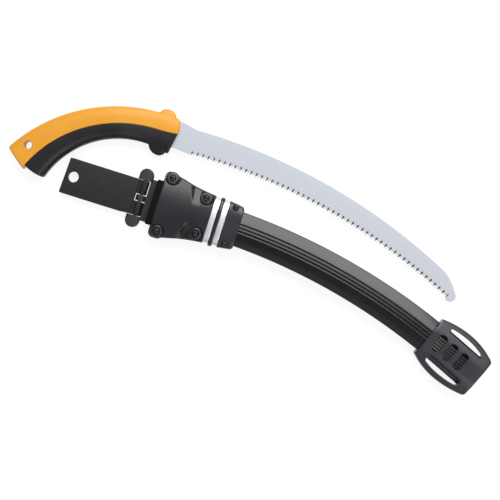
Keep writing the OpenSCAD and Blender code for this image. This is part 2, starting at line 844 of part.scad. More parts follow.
// Section of the housing's back: flat in the middle, sloped at the flanks
function throat_keel() =
    let (edge = throat_mouth_w / 2 + over)
    let (flat = throat_tail_w / 2 - keel_in)
    let (edge_z = throat_back_h * keel_edge)
    [[edge, 0], [edge, -edge_z], [flat, -throat_back_h],
     [-flat, -throat_back_h], [-edge, -edge_z], [-edge, 0]];

// Everything that runs through the middle of the housing
module throat_bores() {
    along_x(throat_x0 - over, collar_x0 + over)
        square([throat_slot_w, slot_t], center = true);
    along_x(throat_x0 - over, throat_x0 + lip_plug + seat_gap)
        square([throat_slot_w + 2 * lip_plug_wall + 2 * seat_gap,
                slot_t + 2 * lip_plug_wall + 2 * seat_gap], center = true);
    sheath_seat();
    both_sides() {
        post([-roller_x, roller_y], roller_d + 2 * roller_gap,
             -roller_h / 2 - roller_gap, roller_h / 2 + roller_gap);
        post([-roller_x, roller_y], axle_d + 2 * pin_gap, -axle_half - seat_gap, axle_half + seat_gap);
    }
}

// Plan of half the spigot that carries the bands
module spigot(z0, z1) {
    intersection() {
        along_x(throat_x1 - over, collar_x0)
            polygon(round_rect(spigot_w / 2, spigot_t / 2, spigot_r));
        translate([throat_x1 - over, -spigot_w, z0])
            cube([collar_x0 - throat_x1 + over, 2 * spigot_w, z1 - z0]);
    }
}

module finger_scoop() {
    translate([-scoop_x, scoop_gap, throat_front_h + scoop_r - scoop_depth])
        rotate([-90, 0, 0])
            cylinder(r = scoop_r, h = throat_mouth_w);
}

module throat_front() {
    color([0.24, 0.24, 0.26])
        in_scabbard()
            difference() {
                union() {
                    intersection() {
                        linear_extrude(throat_front_h) polygon(throat_plan());
                        along_x(throat_x0 - over, throat_x1 + over) polygon(throat_dome());
                    }
                    both_sides() {
                        post(corner_boss, 2 * boss_r - 1, 0, corner_boss_h);
                        post(tail_boss, 2 * tail_boss_r, 0, tail_boss_h);
                    }
                    spigot(0, spigot_t);
                }
                throat_bores();
                both_sides() {
                    difference() {
                        finger_scoop();
                        post(tail_boss, 2 * tail_boss_r, 0, tail_boss_h + over);
                    }
                    screw_room(corner_boss, corner_boss_h);
                    screw_room(tail_boss, tail_boss_h);
                }
            }
}

// Room for one throat screw in the front shell
module screw_room(at, top) {
    post(at, screw_d + 2 * pin_gap, -over, top);
    post(at, screw_head_d + 2 * seat_gap, top - screw_sink - screw_head_h, top + over);
}

module throat_back() {
    color([0.2, 0.2, 0.22])
        in_scabbard()
            difference() {
                union() {
                    intersection() {
                        translate([0, 0, back_z]) linear_extrude(throat_back_h) polygon(throat_plan());
                        along_x(throat_x0 - over, throat_x1 + over) polygon(throat_keel());
                    }
                    spigot(-spigot_t, 0);
                }
                throat_bores();
                both_sides() {
                    post(corner_boss, insert_d + 2 * pin_gap, -insert_len - screw_sink, over);
                    post(tail_boss, insert_d + 2 * pin_gap, -insert_len - screw_sink, over);
                    post(bracket_screw, screw_head_d + 2 * seat_gap, back_z - over, bracket_z + over);
                    post(bracket_screw, screw_d + 2 * pin_gap, bracket_z, bracket_screw_end + seat_gap);
                }
                translate([throat_x0 - over, -bracket_w / 2 - seat_gap, bracket_z - seat_gap])
                    cube([bracket_x1 - throat_x0 + over + seat_gap,
                          bracket_w + 2 * seat_gap, bracket_t + 2 * seat_gap]);
            }
}

// A screw with a round head and a six-sided socket, its head's top at a height
module socket_screw(at, top, end, d, head_d) {
    difference() {
        union() {
            post(at, d, end, top - screw_head_h + 0.1);
            post(at, head_d, top - screw_head_h, top);
        }
        translate([at[0], at[1], top - screw_head_h * 0.6])
            cylinder(d = head_d * 0.5, h = screw_head_h, $fn = 6);
    }
}

module throat_screws() {
    color([0.3, 0.3, 0.32])
        in_scabbard()
            both_sides() {
                socket_screw(corner_boss, corner_boss_h - screw_sink, -insert_len + 1, screw_d, screw_head_d);
                socket_screw(tail_boss, tail_boss_h - screw_sink, -insert_len + 1, screw_d, screw_head_d);
            }
}

module insert(at) {
    difference() {
        post(at, insert_d, -insert_len, 0);
        post(at, screw_d + 2 * pin_gap, -insert_len - over, over);
    }
}

module throat_inserts() {
    color("goldenrod")
        in_scabbard()
            both_sides() {
                insert(corner_boss);
                insert(tail_boss);
            }
}

module mouth_lip() {
    lip_low = bracket_top + 2 * seat_gap;
    color([0.09, 0.09, 0.1])
        in_scabbard()
            difference() {
                union() {
                    along_x(throat_x0 - lip_len, throat_x0)
                        translate([0, (lip_front_h + lip_low) / 2])
                            polygon(round_rect(lip_w / 2, (lip_front_h - lip_low) / 2, lip_r));
                    along_x(throat_x0 - over, throat_x0 + lip_plug)
                        square([throat_slot_w + 2 * lip_plug_wall, slot_t + 2 * lip_plug_wall], center = true);
                }
                along_x(throat_x0 - lip_len - over, throat_x0 + lip_plug + over)
                    square([throat_slot_w, slot_t], center = true);
            }
}

// Guide rollers

module guide_roller(side) {
    difference() {
        post([-roller_x, side * roller_y], roller_d, -roller_h / 2, roller_h / 2);
        post([-roller_x, side * roller_y], axle_d + 2 * run_gap, -roller_h, roller_h);
    }
}

module guide_roller_upper() {
    color([0.2, 0.2, 0.2]) in_scabbard() guide_roller(1);
}

module guide_roller_lower() {
    color([0.2, 0.2, 0.2]) in_scabbard() guide_roller(-1);
}

module roller_axles() {
    color("silver")
        in_scabbard()
            both_sides() post([-roller_x, roller_y], axle_d, -axle_half, axle_half);
}

// Hinge and belt hanger

module hinge_bracket() {
    web_t = bracket_t;
    color([0.22, 0.22, 0.24])
        in_scabbard()
            difference() {
                union() {
                    translate([bracket_x0, -bracket_w / 2, bracket_z])
                        cube([bracket_len, bracket_w, bracket_t]);
                    translate([-hinge_x, -knuckle_w / 2, bracket_z])
                        cube([bracket_neck + over, knuckle_w, web_t]);
                    hinge_rod(knuckle_d, -knuckle_w / 2, knuckle_w / 2);
                    both_sides() {
                        intersection() {
                            post([-hinge_x, ear_y], 2 * ear_r,
                                 hinge_z - knuckle_d / 2, hinge_z + knuckle_d / 2);
                            translate([-hinge_x - ear_r, ear_in, back_z])
                                cube([2 * ear_r, 2 * ear_r, throat_back_h]);
                        }
                        translate([-hinge_x, ear_in, bracket_z])
                            cube([bracket_neck + over, ear_web_w, bracket_t]);
                        translate([bracket_x0, 0, bracket_z])
                            cube([ear_arm, ear_in + ear_web_w, bracket_t]);
                    }
                }
                hinge_rod(pin_d + 2 * pin_gap, -pin_half - seat_gap, pin_half + seat_gap);
                both_sides() post(bracket_screw, screw_d + 2 * pin_gap, back_z, 0);
            }
}

module bracket_screws() {
    color([0.3, 0.3, 0.32])
        in_scabbard()
            both_sides() {
                post(bracket_screw, screw_head_d, bracket_z - bracket_head_h, bracket_z);
                post(bracket_screw, screw_d, bracket_z - bracket_head_h / 2, bracket_screw_end);
            }
}

module hinge_pin() {
    color("silver")
        in_scabbard() hinge_rod(pin_d, -pin_half, pin_half);
}

module belt_hanger() {
    gap_x0 = hanger_x0 + hanger_end;
    gap_x1 = hanger_x1 - hanger_wall;
    knuckle_in = knuckle_w / 2 + knuckle_gap;
    knuckle_len = hanger_w / 2 - knuckle_in;
    web_t = knuckle_d * 0.7;
    color([0.2, 0.2, 0.21])
        in_scabbard()
            difference() {
                union() {
                    translate([hanger_x0, -hanger_w / 2, back_z])
                        cube([hanger_x1 - hanger_x0, hanger_w, hanger_t]);
                    both_sides() {
                        hinge_rod(knuckle_d, knuckle_in, hanger_w / 2);
                        translate([hanger_x1 - over, knuckle_in, hinge_z - web_t / 2])
                            cube([hanger_neck + over, knuckle_len, web_t]);
                    }
                }
                translate([gap_x0, -hanger_w, back_z + hanger_back_t])
                    cube([gap_x1 - gap_x0, 2 * hanger_w, hanger_t - hanger_back_t - hanger_front_t]);
                hinge_rod(pin_d + 2 * run_gap, -hanger_w, hanger_w);
                post([hanger_x0 + hanger_hole_in, 0], hanger_hole_d, back_z - over, back_z + hanger_t + over);
            }
}

// Bands and collar

module spigot_band(x0, x1, w, t, r) {
    difference() {
        along_x(x0, x1) polygon(round_rect(w / 2, t / 2, r));
        along_x(x0 - over, x1 + over)
            polygon(round_rect(spigot_w / 2 + seat_gap, spigot_t / 2 + seat_gap, spigot_r));
    }
}

module band_ring_mouth() {
    color("gainsboro")
        in_scabbard() spigot_band(band_x0, spacer_x0, band_w, band_t, band_r);
}

module spacer_ring() {
    color([0.15, 0.15, 0.16])
        in_scabbard() spigot_band(spacer_x0, spacer_x1, spacer_w, spacer_t, spacer_r);
}

module band_ring_tip() {
    color("gainsboro")
        in_scabbard() spigot_band(spacer_x1, collar_x0, band_w, band_t, band_r);
}

function collar_plan() =
    let (x1 = collar_x0 + collar_len)
    let (r = collar_corner_r)
    concat(
        [[collar_x0, -collar_w / 2]],
        arc([x1 - r, r - collar_end_w / 2], r, -90, 0, corner_steps),
        arc([x1 - r, collar_end_w / 2 - r], r, 0, 90, corner_steps),
        [[collar_x0, collar_w / 2]]
    );

// Half of the collar, in front of the slot
module half_collar() {
    difference() {
        intersection() {
            linear_extrude(collar_t / 2) polygon(collar_plan());
            along_x(collar_x0 - over, collar_x0 + collar_len + over)
                polygon(round_rect(collar_w / 2, collar_t / 2, collar_r));
        }
        sheath_seat();
        both_sides() post(collar_hole, collar_screw_d + 2 * pin_gap, -over, collar_t);
    }
}

module collar_front() {
    top = collar_t / 2 - screw_sink - screw_head_h;
    color([0.26, 0.26, 0.28])
        in_scabbard()
            difference() {
                half_collar();
                both_sides() post(collar_hole, screw_head_d + 2 * seat_gap, top, collar_t);
            }
}

module collar_back() {
    color([0.22, 0.22, 0.24])
        in_scabbard()
            difference() {
                mirror([0, 0, 1]) half_collar();
                both_sides() nut_room();
            }
}

module nut_room() {
    translate([collar_hole[0], collar_hole[1], -collar_t])
        cylinder(d = nut_d + 2 * seat_gap, h = collar_t / 2 + nut_h + screw_sink, $fn = 6);
}

module collar_screws() {
    color([0.3, 0.3, 0.32])
        in_scabbard()
            both_sides()
                socket_screw(collar_hole, collar_t / 2 - screw_sink, -collar_t / 2 + screw_sink,
                             collar_screw_d, screw_head_d);
}

module collar_nuts() {
    color("silver")
        in_scabbard()
            both_sides()
                difference() {
                    translate([collar_hole[0], collar_hole[1], -collar_t / 2 + screw_sink])
                        cylinder(d = nut_d, h = nut_h, $fn = 6);
                    post(collar_hole, collar_screw_d + 2 * pin_gap, -collar_t, 0);
                }
}

// Strap end

function end_half_w(s) =
    s < end_belly
        ? end_w - (end_w - end_mouth_w) * pow((end_belly - s) / end_belly, 2)
        : end_w - (end_w - end_tip_w) * pow((s - end_belly) / (end_len - end_belly), 2);

function end_pt(s, across) = sheath_pt(sheath_a + s * mm_a, across);

// One side of the plan: a bulged flank and a round far corner
function end_side(side) = concat(
    [for (i = [0 : 14])
        let (s = (end_len - end_corner_r) * i / 14)
        end_pt(s, side * end_half_w(s))],
    [for (i = [1 : corner_steps])
        let (a = 90 * i / corner_steps)
        let (s = end_len - end_corner_r + end_corner_r * sin(a))
        end_pt(s, side * (end_half_w(end_len - end_corner_r) - end_corner_r * (1 - cos(a))))]
);

function backwards(list) = [for (i = [len(list) - 1 : -1 : 0]) list[i]];

// Section of the strap end: a raised middle and thinner wings, deeper at the back
function end_section() =
    let (edge = end_w + over)
    let (keel = end_crown_w + end_keel)
    [[edge, end_wing_h - wing_fall], [strap_slot_in, end_wing_h], [end_crown_w, end_front_h],
     [-end_crown_w, end_front_h], [-strap_slot_in, end_wing_h], [-edge, end_wing_h - wing_fall],
     [-edge, -end_wing_h], [-strap_slot_in, -end_wing_h - wing_keel], [-keel, back_z],
     [keel, back_z], [strap_slot_in, -end_wing_h - wing_keel], [edge, -end_wing_h]];

// Plan of one strap slot: its inner edge follows the sheath, its outer edge the flank
function strap_slot(side) = concat(
    [for (i = [0 : 10])
        end_pt(strap_slot_start + strap_slot_len * i / 10, side * strap_slot_in)],
    [for (i = [10 : -1 : 0])
        let (s = strap_slot_start + strap_slot_len * i / 10)
        let (pinch = pow(abs(i / 5 - 1), 6))
        let (out = end_half_w(s) - strap_bar)
        end_pt(s, side * (out - pinch * (out - strap_slot_in) * 0.8))]
);

module window(i) {
    a = sheath_a + (window_start + i * window_step) * mm_a;
    translate(concat(sheath_pt(a, 0), [edge_hh]))
        rotate(-a)
            linear_extrude(end_front_h)
                polygon(round_rect(window_len / 2, window_w / 2, min(window_r, window_len / 2)));
}

module strap_end() {
    color([0.24, 0.24, 0.26])
        in_scabbard()
            difference() {
                intersection() {
                    translate([0, 0, back_z])
                        linear_extrude(throat_back_h + end_front_h)
                            polygon(concat(end_side(1), backwards(end_side(-1))));
                    along_sheath(sheath_a - 1, end_tip_a + 1) polygon(end_section());
                }
                sheath_seat();
                for (side = [-1, 1])
                    translate([0, 0, back_z - over])
                        linear_extrude(throat_back_h + end_front_h + 2 * over) polygon(strap_slot(side));
                for (i = [0 : 2]) window(i);
            }
}

blade();
handle_core();
tang_rivets();
handle_back();
rubber_grip();
throat_front();
throat_back();
throat_screws();
throat_inserts();
mouth_lip();
guide_roller_upper();
guide_roller_lower();
roller_axles();
hinge_bracket();
bracket_screws();
hinge_pin();
belt_hanger();
band_ring_mouth();
spacer_ring();
band_ring_tip();
collar_front();
collar_back();
collar_screws();
collar_nuts();
sheath_front();
sheath_back();
strap_end();
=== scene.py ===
"""Looks of the curved pruning saw and its belt scabbard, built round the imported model.

Lengths are millimetres in the saw's own frame (x = 0 at the handle's front, z = 0 in the blade) or the
scabbard's own frame (x = 0 where the sheath's arc starts, z = 0 in the blade slot), and become metres in
mesh_of().
"""
import math

import bmesh
import bpy
import numpy as np
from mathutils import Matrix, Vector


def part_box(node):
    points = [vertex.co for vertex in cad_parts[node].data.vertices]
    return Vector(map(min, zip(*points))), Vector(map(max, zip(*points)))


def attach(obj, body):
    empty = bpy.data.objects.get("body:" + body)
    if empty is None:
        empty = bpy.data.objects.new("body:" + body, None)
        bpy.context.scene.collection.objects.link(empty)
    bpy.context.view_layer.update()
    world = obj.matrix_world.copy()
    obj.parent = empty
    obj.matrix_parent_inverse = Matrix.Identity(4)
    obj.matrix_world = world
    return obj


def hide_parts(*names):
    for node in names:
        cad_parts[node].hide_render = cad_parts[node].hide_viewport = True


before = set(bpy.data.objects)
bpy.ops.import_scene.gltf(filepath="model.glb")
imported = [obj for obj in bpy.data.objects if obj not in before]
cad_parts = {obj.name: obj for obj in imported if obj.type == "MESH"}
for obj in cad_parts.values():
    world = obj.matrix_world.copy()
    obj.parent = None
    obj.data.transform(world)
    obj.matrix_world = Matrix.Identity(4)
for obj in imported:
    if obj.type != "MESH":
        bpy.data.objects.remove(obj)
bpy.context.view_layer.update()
MM = 0.001

# Blade
BLADE_T, BLADE_W = 1.4, 26.6
SPINE_THIN, SPINE_RUN, SPINE_LIFT = 0.2, 5.5, 0.7
TOOTH_PITCH, TOOTH_DEPTH, TOOTH_COUNT = 3.0, 3.6, 105
TOOTH_R, SPINE_R = 660.0, 635.4
TOOTH_C = np.array([42.1, -BLADE_W / 2 - TOOTH_R])
SPINE_C = np.array([36.1, BLADE_W / 2 + SPINE_LIFT - SPINE_R])
TOOTH_RAKE, TEETH_SINK, TEETH_LAP, BLADE_SHARP = 0.3, 0.015, 0.2, 7
TEETH_BAND, BEVEL_LEN, GULLET_DEPTH, TIP_LAND = 6.2, 5.4, TOOTH_DEPTH - 0.3, 0.1
HEEL_LEN, HEEL_TOP, HEEL_DROP, HEEL_RUN, HEEL_IN = 20.5, 17.2, 11.8, 22.0, 8.0
NOSE_R, NOSE_LEN, NOSE_RUN, NOSE_DROP = 6.0, 3.1, 16.0, 1.6

# Handle: angles in degrees about HANDLE_C, from +Y towards +X
HANDLE_R, HANDLE_TOP, HANDLE_CROWN_X = 171.2, 20.0, 19.4
HANDLE_C = np.array([-HANDLE_CROWN_X, HANDLE_TOP - HANDLE_R])
GRIP_R, GRIP_DROP, GRIP_CROWN_X = 94.3, 16.0, 30.8
GRIP_C = np.array([-GRIP_CROWN_X, -GRIP_DROP - GRIP_R])
FRONT_A, BUTT_A = 7.3, 59.5
BACK_W, BACK_FLARE, FLARE_POWER = 18.2, 8.7, 2.4
GUARD_BACK_H, GUARD_GRIP_H, GUARD_A, GUARD_BACK_A, GUARD_GRIP_A = 5.8, 7.0, 1.45, 3.0, 4.1
SEAM_LIFT, SEAM_ROUND = 2.8, 0.6
GUARD_T, KNOB_T, HANDLE_T, SWELL_A, SKIN_POWER = 12.6, 9.0, 22.0, 18.0, 3.3
LANYARD_D, LANYARD_IN, LANYARD_A = 8.8, 12.0, 52.9
RIVET_R, RIVET_A = 153.8, (-5.0, -19.0)

# Sheath: w runs across it, positive towards its upper side
SHEATH_R, SHEATH_A = 691.3, 21.5
SHEATH_HW, SHEATH_HH, SHEATH_EDGE_H, PANEL_HW = 18.7, 7.5, 3.9, 6.5
SHEATH_SHIFT, MOUTH_GAP, MOUTH_GAP_D = 0.2, 1.2, 2.4
RIBS, RIB_FOOT, RIB_SLOPE = ((4.8, 2.5), (0.9, -0.8), (-3.0, -4.4)), 0.2, 0.18
SLOT_HW, SLOT_HH = 15.9, 3.4
TAIL_START, TAIL_END, TAIL_NARROW, TAIL_RIB = 7.0, 53.0, 3.4, 3.2
SHEATH_START = -8.6

# Throat housing
THROAT_X0, THROAT_X1 = -62.7, -5.0
MOUTH_HW, TAIL_HW, THROAT_SHIFT = 36.2, 25.9, 0.3
CORNER_R, BOSS_POST_R = 5.5, 6.7
CORNER_BOSS = (THROAT_X0 + 8.4, MOUTH_HW - 6.9)
BOSS_SHIFT, BOSS_LEAN = 0.8, 0.17
FLANK_X = THROAT_X0 + 11.0
TAIL_BOSS = (-14.2, 19.7)
THROAT_H, THROAT_EDGE_H, THROAT_BACK = 11.0, 5.6, 15.0
FRONT_RIM, BACK_RIM, TAIL_RIM = 2.0, 1.6, 0.5
CORNER_BOSS_H, TAIL_BOSS_H, BOSS_ROUND = 9.2, 11.0, (2.5, 1.4)
THROAT_SLOT_HW = 16.4
SCREW_HEAD_R, SCREW_HEAD_H, SCREW_SINK, POINT_R = 3.2, 2.2, 0.6, 0.05
LIP_LEN, LIP_HW, LIP_H, LIP_LOW, LIP_SEAT = 6.0, 24.5, 9.6, -9.64, 2.5

# Hinge, bracket and hanger
HINGE_X, HINGE_Z = -82.0, -THROAT_BACK + 4.22
KNUCKLE_R, PIN_R, KNUCKLE_HW, KNUCKLE_GAP = 4.2, 2.05, 3.2, 0.75
LOOP_KNUCKLE_W, MID_KNUCKLE_W = 4.8, 5.3
HANGER_X0, HANGER_X1, HANGER_HW, HANGER_T = -164.9, -88.2, 19.2, 11.0
HANGER_SLANT, HANGER_WIDER = 1.7, 0.8
GAP_X0, GAP_X1, BACK_PLATE, FRONT_PLATE = HANGER_X0 + 17.0, HANGER_X1 - 4.0, 2.5, 3.0
HANGER_HOLE_R, HANGER_HOLE_IN = 5.8, 8.4
BRACKET_X0, BRACKET_X1, BRACKET_HW = HINGE_X + 5.5, -40.2, 23.0
BRACKET_Z0, BRACKET_Z1 = -THROAT_BACK + 1.6, -THROAT_BACK + 5.2
EAR_R, EAR_X, EAR_Y, EAR_IN = 7.7, (HINGE_X - 0.5, HINGE_X - 1.6), 24.7, 19.55

# Bands and collar
BAND_LEN, SPACER_LEN = 6.1, 4.1
BAND_X = THROAT_X1 + np.cumsum([0, BAND_LEN, SPACER_LEN, BAND_LEN])
BAND_HW, BAND_HH, SPACER_HW, SPACER_HH = 25.7, 10.5, 26.8, 11.0
BORE_HW, BORE_HH = 24.1, 8.9
COLLAR_LEN, COLLAR_HW, COLLAR_END_HW, COLLAR_HH = 16.5, 25.6, 23.2, 10.5
COLLAR_SCREW = (BAND_X[3] + 7.0, 20.2)
POCKET_R, POCKET_FLOOR, COLLAR_SCREW_TOP = 3.6, 6.9, 9.0
NUT_AT, NUT_ROOM_R, NUT_FLOOR = (BAND_X[3] + 7.0, 21.0), 2.95, -7.7

# Strap end: s runs along it from its mouth, w across it. Pairs are for its upper and its lower side
END_LEN, END_CORNER, END_MOUTH_HW, END_TIP_HW = 69.0, 2.8, (23.2, 23.7), (22.4, 23.4)
END_HW, END_BELLY = (29.8, 30.2), (36.0, 31.0)
END_BACK, END_SHIFT, END_LEAN = 0.4, 0.7, 2.2
END_H, WING_H, END_FALL, END_FLAT, END_POWER = 10.6, 6.0, 6.2, 7.0, 1.4
STRAP_IN, STRAP_BAR, STRAP_START, STRAP_END, STRAP_ROUND = 18.8, (5.5, 6.3), 13.2, 56.6, 2.2
WINDOW_S, WINDOW_W, WINDOW_HL, WINDOW_HW, WINDOW_R = (13.2, 27.9, 42.6), 1.3, 4.5, 9.5, 3.6
LEDGE_Z, BAR_LEAST = -2.0, 0.4
SHARP = 32


# Curves

def heading(a):
    """Unit vectors at angles in degrees from +Y towards +X."""
    a = np.radians(a)
    return np.stack([np.sin(a), np.cos(a)], -1)


def smooth(x):
    """Rises from 0 to 1 as x does, with level ends."""
    x = np.clip(x, 0, 1)
    return x * x * (3 - 2 * x)


def fillet(d, r):
    """Fall of an edge rounded to radius r, at a distance d inside it: a quarter circle that ends level."""
    d = np.clip(d, 0, r)
    return r - np.sqrt(r * r - (r - d) ** 2)


def spread(a, b, n):
    """n places from a to b, crowded towards both ends as a cosine."""
    return a + (b - a) * (1 - np.cos(np.linspace(0, np.pi, n))) / 2


def quarter(n, start=0):
    """n sines of even angles from a start to 90 degrees: places up to 1, crowded towards it."""
    return np.sin(np.radians(np.linspace(start, 90, n)))


def bend(p0, p1, p2, n):
    """n points of a curve that leaves p0 towards p1 and arrives at p2, a quadratic in its parameter."""
    t = np.linspace(0, 1, n)[:, None]
    return (1 - t) ** 2 * np.array(p0) + 2 * t * (1 - t) * np.array(p1) + t * t * np.array(p2)


def arc(centre, r, a0, a1, n):
    """n points round a centre, between two angles in degrees from +X towards +Y."""
    a = np.radians(np.linspace(a0, a1, n))
    return np.array(centre) + r * np.stack([np.cos(a), np.sin(a)], -1)


def evenly(line, n):
    """n points evenly spaced along a line of points."""
    gone = np.concatenate([[0], np.cumsum(np.linalg.norm(np.diff(line, axis=0), axis=1))])
    at = np.linspace(0, gone[-1], n)
    return np.stack([np.interp(at, gone, line[:, 0]), np.interp(at, gone, line[:, 1])], -1)


def squircle(hw, hh, power, n=144, centre=(0, 0)):
    """Closed loop where (x/hw) and (y/hh), each to a power, add up to one: an oval with flattened sides."""
    a = np.linspace(0, 2 * np.pi, n, endpoint=False)
    c, s = np.cos(a), np.sin(a)
    x, y = [half * np.sign(v) * abs(v) ** (2 / power) for half, v in ((hw, c), (hh, s))]
    return np.stack([x, y], -1) + centre


def in_sheath(s, w):
    """Plan points at a length s along the sheath's arc past its strap end's mouth, and w across it."""
    a = SHEATH_A + np.degrees(s / SHEATH_R)
    return np.array([0, -SHEATH_R]) + (SHEATH_R + w)[..., None] * heading(a)


def in_strap_end(s, w):
    """Plan points in the strap end: along and across a line that starts near the sheath's middle and leans
    with its arc."""
    lean = SHEATH_A + END_LEAN
    start = in_sheath(np.array(-END_BACK), np.array(END_SHIFT))
    return start + s[..., None] * heading(lean + 90) + w[..., None] * heading(lean)


# Shells: points in millimetres and lists of faces

def tube(rings, loop=False):
    """Skin over a row of closed rings: quads between them, and flat caps unless the row is a loop."""
    n, m = rings.shape[:2]
    i = np.arange(n * m).reshape(n, m)
    i = np.vstack([i, i[:1]]) if loop else i
    i = np.hstack([i, i[:, :1]])
    quads = np.stack([i[:-1, :-1], i[1:, :-1], i[1:, 1:], i[:-1, 1:]], -1).reshape(-1, 4).tolist()
    caps = [] if loop else [i[0, :-1].tolist(), i[-1, -2::-1].tolist()]
    return rings.reshape(-1, 3), quads + caps


def slab(plan, top, bottom, keep=None):
    """Closed slab over a grid in plan: a top and a bottom height at each point, walls on open edges, and an
    opening at each cell that isn't kept."""
    n, m = top.shape
    i = np.arange(n * m).reshape(n, m)
    quads = np.stack([i[:-1, :-1], i[1:, :-1], i[1:, 1:], i[:-1, 1:]], -1)
    quads = quads.reshape(-1, 4) if keep is None else quads[keep]
    edges = np.stack([quads, np.roll(quads, -1, 1)], -1).reshape(-1, 2)
    ordered = np.sort(edges, 1)
    _, first, count = np.unique(ordered[:, 0] * n * m + ordered[:, 1], return_index=True, return_counts=True)
    rim = edges[first[count == 1]]
    walls = np.column_stack([rim[:, 0], rim[:, 0] + n * m, rim[:, 1] + n * m, rim[:, 1]])
    points = np.vstack([np.dstack([plan, top]).reshape(-1, 3), np.dstack([plan, bottom]).reshape(-1, 3)])
    return points, np.vstack([quads, quads[:, ::-1] + n * m, walls]).tolist()


def lathe(at, radii, heights, sides=56):
    """Surface turned about an upright line: a ring at each radius, or row of radii, and height."""
    a = np.linspace(0, 2 * np.pi, sides, endpoint=False)
    radii = np.array([np.broadcast_to(r, sides) for r in radii])
    z = np.broadcast_to(np.array(heights, float)[:, None], radii.shape)
    return tube(np.dstack([at[0] + radii * np.cos(a), at[1] + radii * np.sin(a), z]))


def hoop(outer, inner, start, end, wall, r):
    """Ring between two loops of the same count: a strip of the given wall, its outer edges rounded to r.
    Points come as (along, across, up)."""
    a = np.radians(np.linspace(0, 90, 6))
    along = np.concatenate([[start], start + r - r * np.cos(a), end - r + r * np.sin(a), [end]])
    share = np.concatenate([[0], 1 - r * (1 - np.sin(a)) / wall, 1 - r * (1 - np.cos(a)) / wall, [0]])
    loops = inner + (outer - inner) * share[:, None, None]
    return np.dstack([np.broadcast_to(along[:, None], loops.shape[:2]), loops])


def mirrored(shell, axis):
    """The same shell on the other side of a middle plane."""
    turn = np.ones(3)
    turn[axis] = -1
    return shell[0] * turn, shell[1]


def both_sides(*shells):
    """Shells and their mirror images across the middle line."""
    return [s for shell in shells for s in (shell, mirrored(shell, 1))]


def shifted(shells, across):
    """Shells moved across the middle line."""
    return [(points + [0, across, 0], faces) for points, faces in shells]


# Pieces

def middle(node):
    """Middle of a node's box, in millimetres."""
    low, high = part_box(node)
    return (np.array(low) + np.array(high)) / 2 / MM


SCABBARD_AT = middle("spacer_ring") - [(BAND_X[1] + BAND_X[2]) / 2, 0, 0]
SAW_AT = middle("tang_rivets") - [*(HANDLE_C + RIVET_R * heading(np.array(RIVET_A)).mean(0)), 0]


def placed(name, data):
    """A new object in the scene."""
    made = bpy.data.objects.new(name, data)
    bpy.context.scene.collection.objects.link(made)
    return made


def mesh_of(name, shells, at, sharp):
    """One mesh from several shells: joined, welded, turned outwards, and smooth except past an angle."""
    counts = np.cumsum([0] + [len(shell[0]) for shell in shells])
    faces = [[v + start for v in face] for shell, start in zip(shells, counts) for face in shell[1]]
    mesh = bpy.data.meshes.new(name)
    mesh.from_pydata(((np.vstack([shell[0] for shell in shells]) + at) * MM).tolist(), [], faces)
    finish = [shell[2] if len(shell) > 2 else np.zeros(len(shell[1]), int) for shell in shells]
    mesh.polygons.foreach_set("material_index", np.concatenate(finish))
    edit = bmesh.new()
    edit.from_mesh(mesh)
    bmesh.ops.remove_doubles(edit, verts=edit.verts, dist=2e-6)
    bmesh.ops.recalc_face_normals(edit, faces=edit.faces)
    edit.to_mesh(mesh)
    edit.free()
    soften(mesh, sharp)
    return mesh


def soften(mesh, sharp):
    """Smooth shading with a hard edge wherever two faces meet at more than an angle."""
    mesh.polygons.foreach_set("use_smooth", np.ones(len(mesh.polygons), bool))
    mesh.set_sharp_from_angle(angle=math.radians(sharp))


def piece(name, shells, finishes, body="scabbard", sharp=SHARP):
    """A finished piece: its mesh in the row frame, its materials, and the node that it stands for."""
    at = SAW_AT if body == "saw" else SCABBARD_AT
    thing = placed(name, mesh_of(name, shells, at, sharp))
    for finish in finishes:
        thing.data.materials.append(finish)
    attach(thing, body)
    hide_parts(name.removesuffix("_skin"))
    return thing


def drill(thing, shell, at):
    """Cuts a shell out of a piece and keeps the result as the piece's mesh."""
    tool = placed("drill", mesh_of("drill", [shell], at, SHARP))
    cut = thing.modifiers.new("hole", "BOOLEAN")
    cut.operation, cut.solver, cut.use_self, cut.object = "DIFFERENCE", "EXACT", True, tool
    ready = thing.evaluated_get(bpy.context.evaluated_depsgraph_get())
    mesh = bpy.data.meshes.new_from_object(ready)
    thing.modifiers.clear()
    thing.data = mesh
    bpy.data.objects.remove(tool)
    soften(mesh, SHARP)


# Materials

def linear(hex_colour):
    """Linear colour of an sRGB hex value."""
    rgb = np.array([int(hex_colour[i:i + 2], 16) for i in (1, 3, 5)]) / 255
    return (*np.where(rgb <= 0.04045, rgb / 12.92, ((rgb + 0.055) / 1.055) ** 2.4), 1.0)


def add(tree, kind, settings=None, values=None, links=None):
    """Adds a node: its settings, its sockets' values, and links into it from (node, output) pairs."""
    made = tree.nodes.new(kind)
    for key, value in (settings or {}).items():
        setattr(made, key, value)
    for key, value in (values or {}).items():
        made.inputs[key].default_value = value
    for key, (source, output) in (links or {}).items():
        tree.links.new(source.outputs[output], made.inputs[key])
    return made


def per(size):
    """Scale of a pattern whose features are a size in millimetres across, on coordinates in metres."""
    return 1 / (size * MM)


def shader(name, **values):
    """A new material with a Principled shader: its name, its tree, the shader and the Object coordinates."""
    made = bpy.data.materials.new(name)
    made.use_nodes = True
    tree = made.node_tree
    surface = tree.nodes["Principled BSDF"]
    for key, value in values.items():
        surface.inputs[key.replace("_", " ")].default_value = value
    return made, tree, surface, add(tree, "ShaderNodeTexCoord")


def noise(tree, place, size, detail):
    """Noise with features a size in millimetres across, at a place given as (node, output)."""
    values = {"Scale": per(size), "Detail": detail}
    return add(tree, "ShaderNodeTexNoise", values=values, links={"Vector": place})


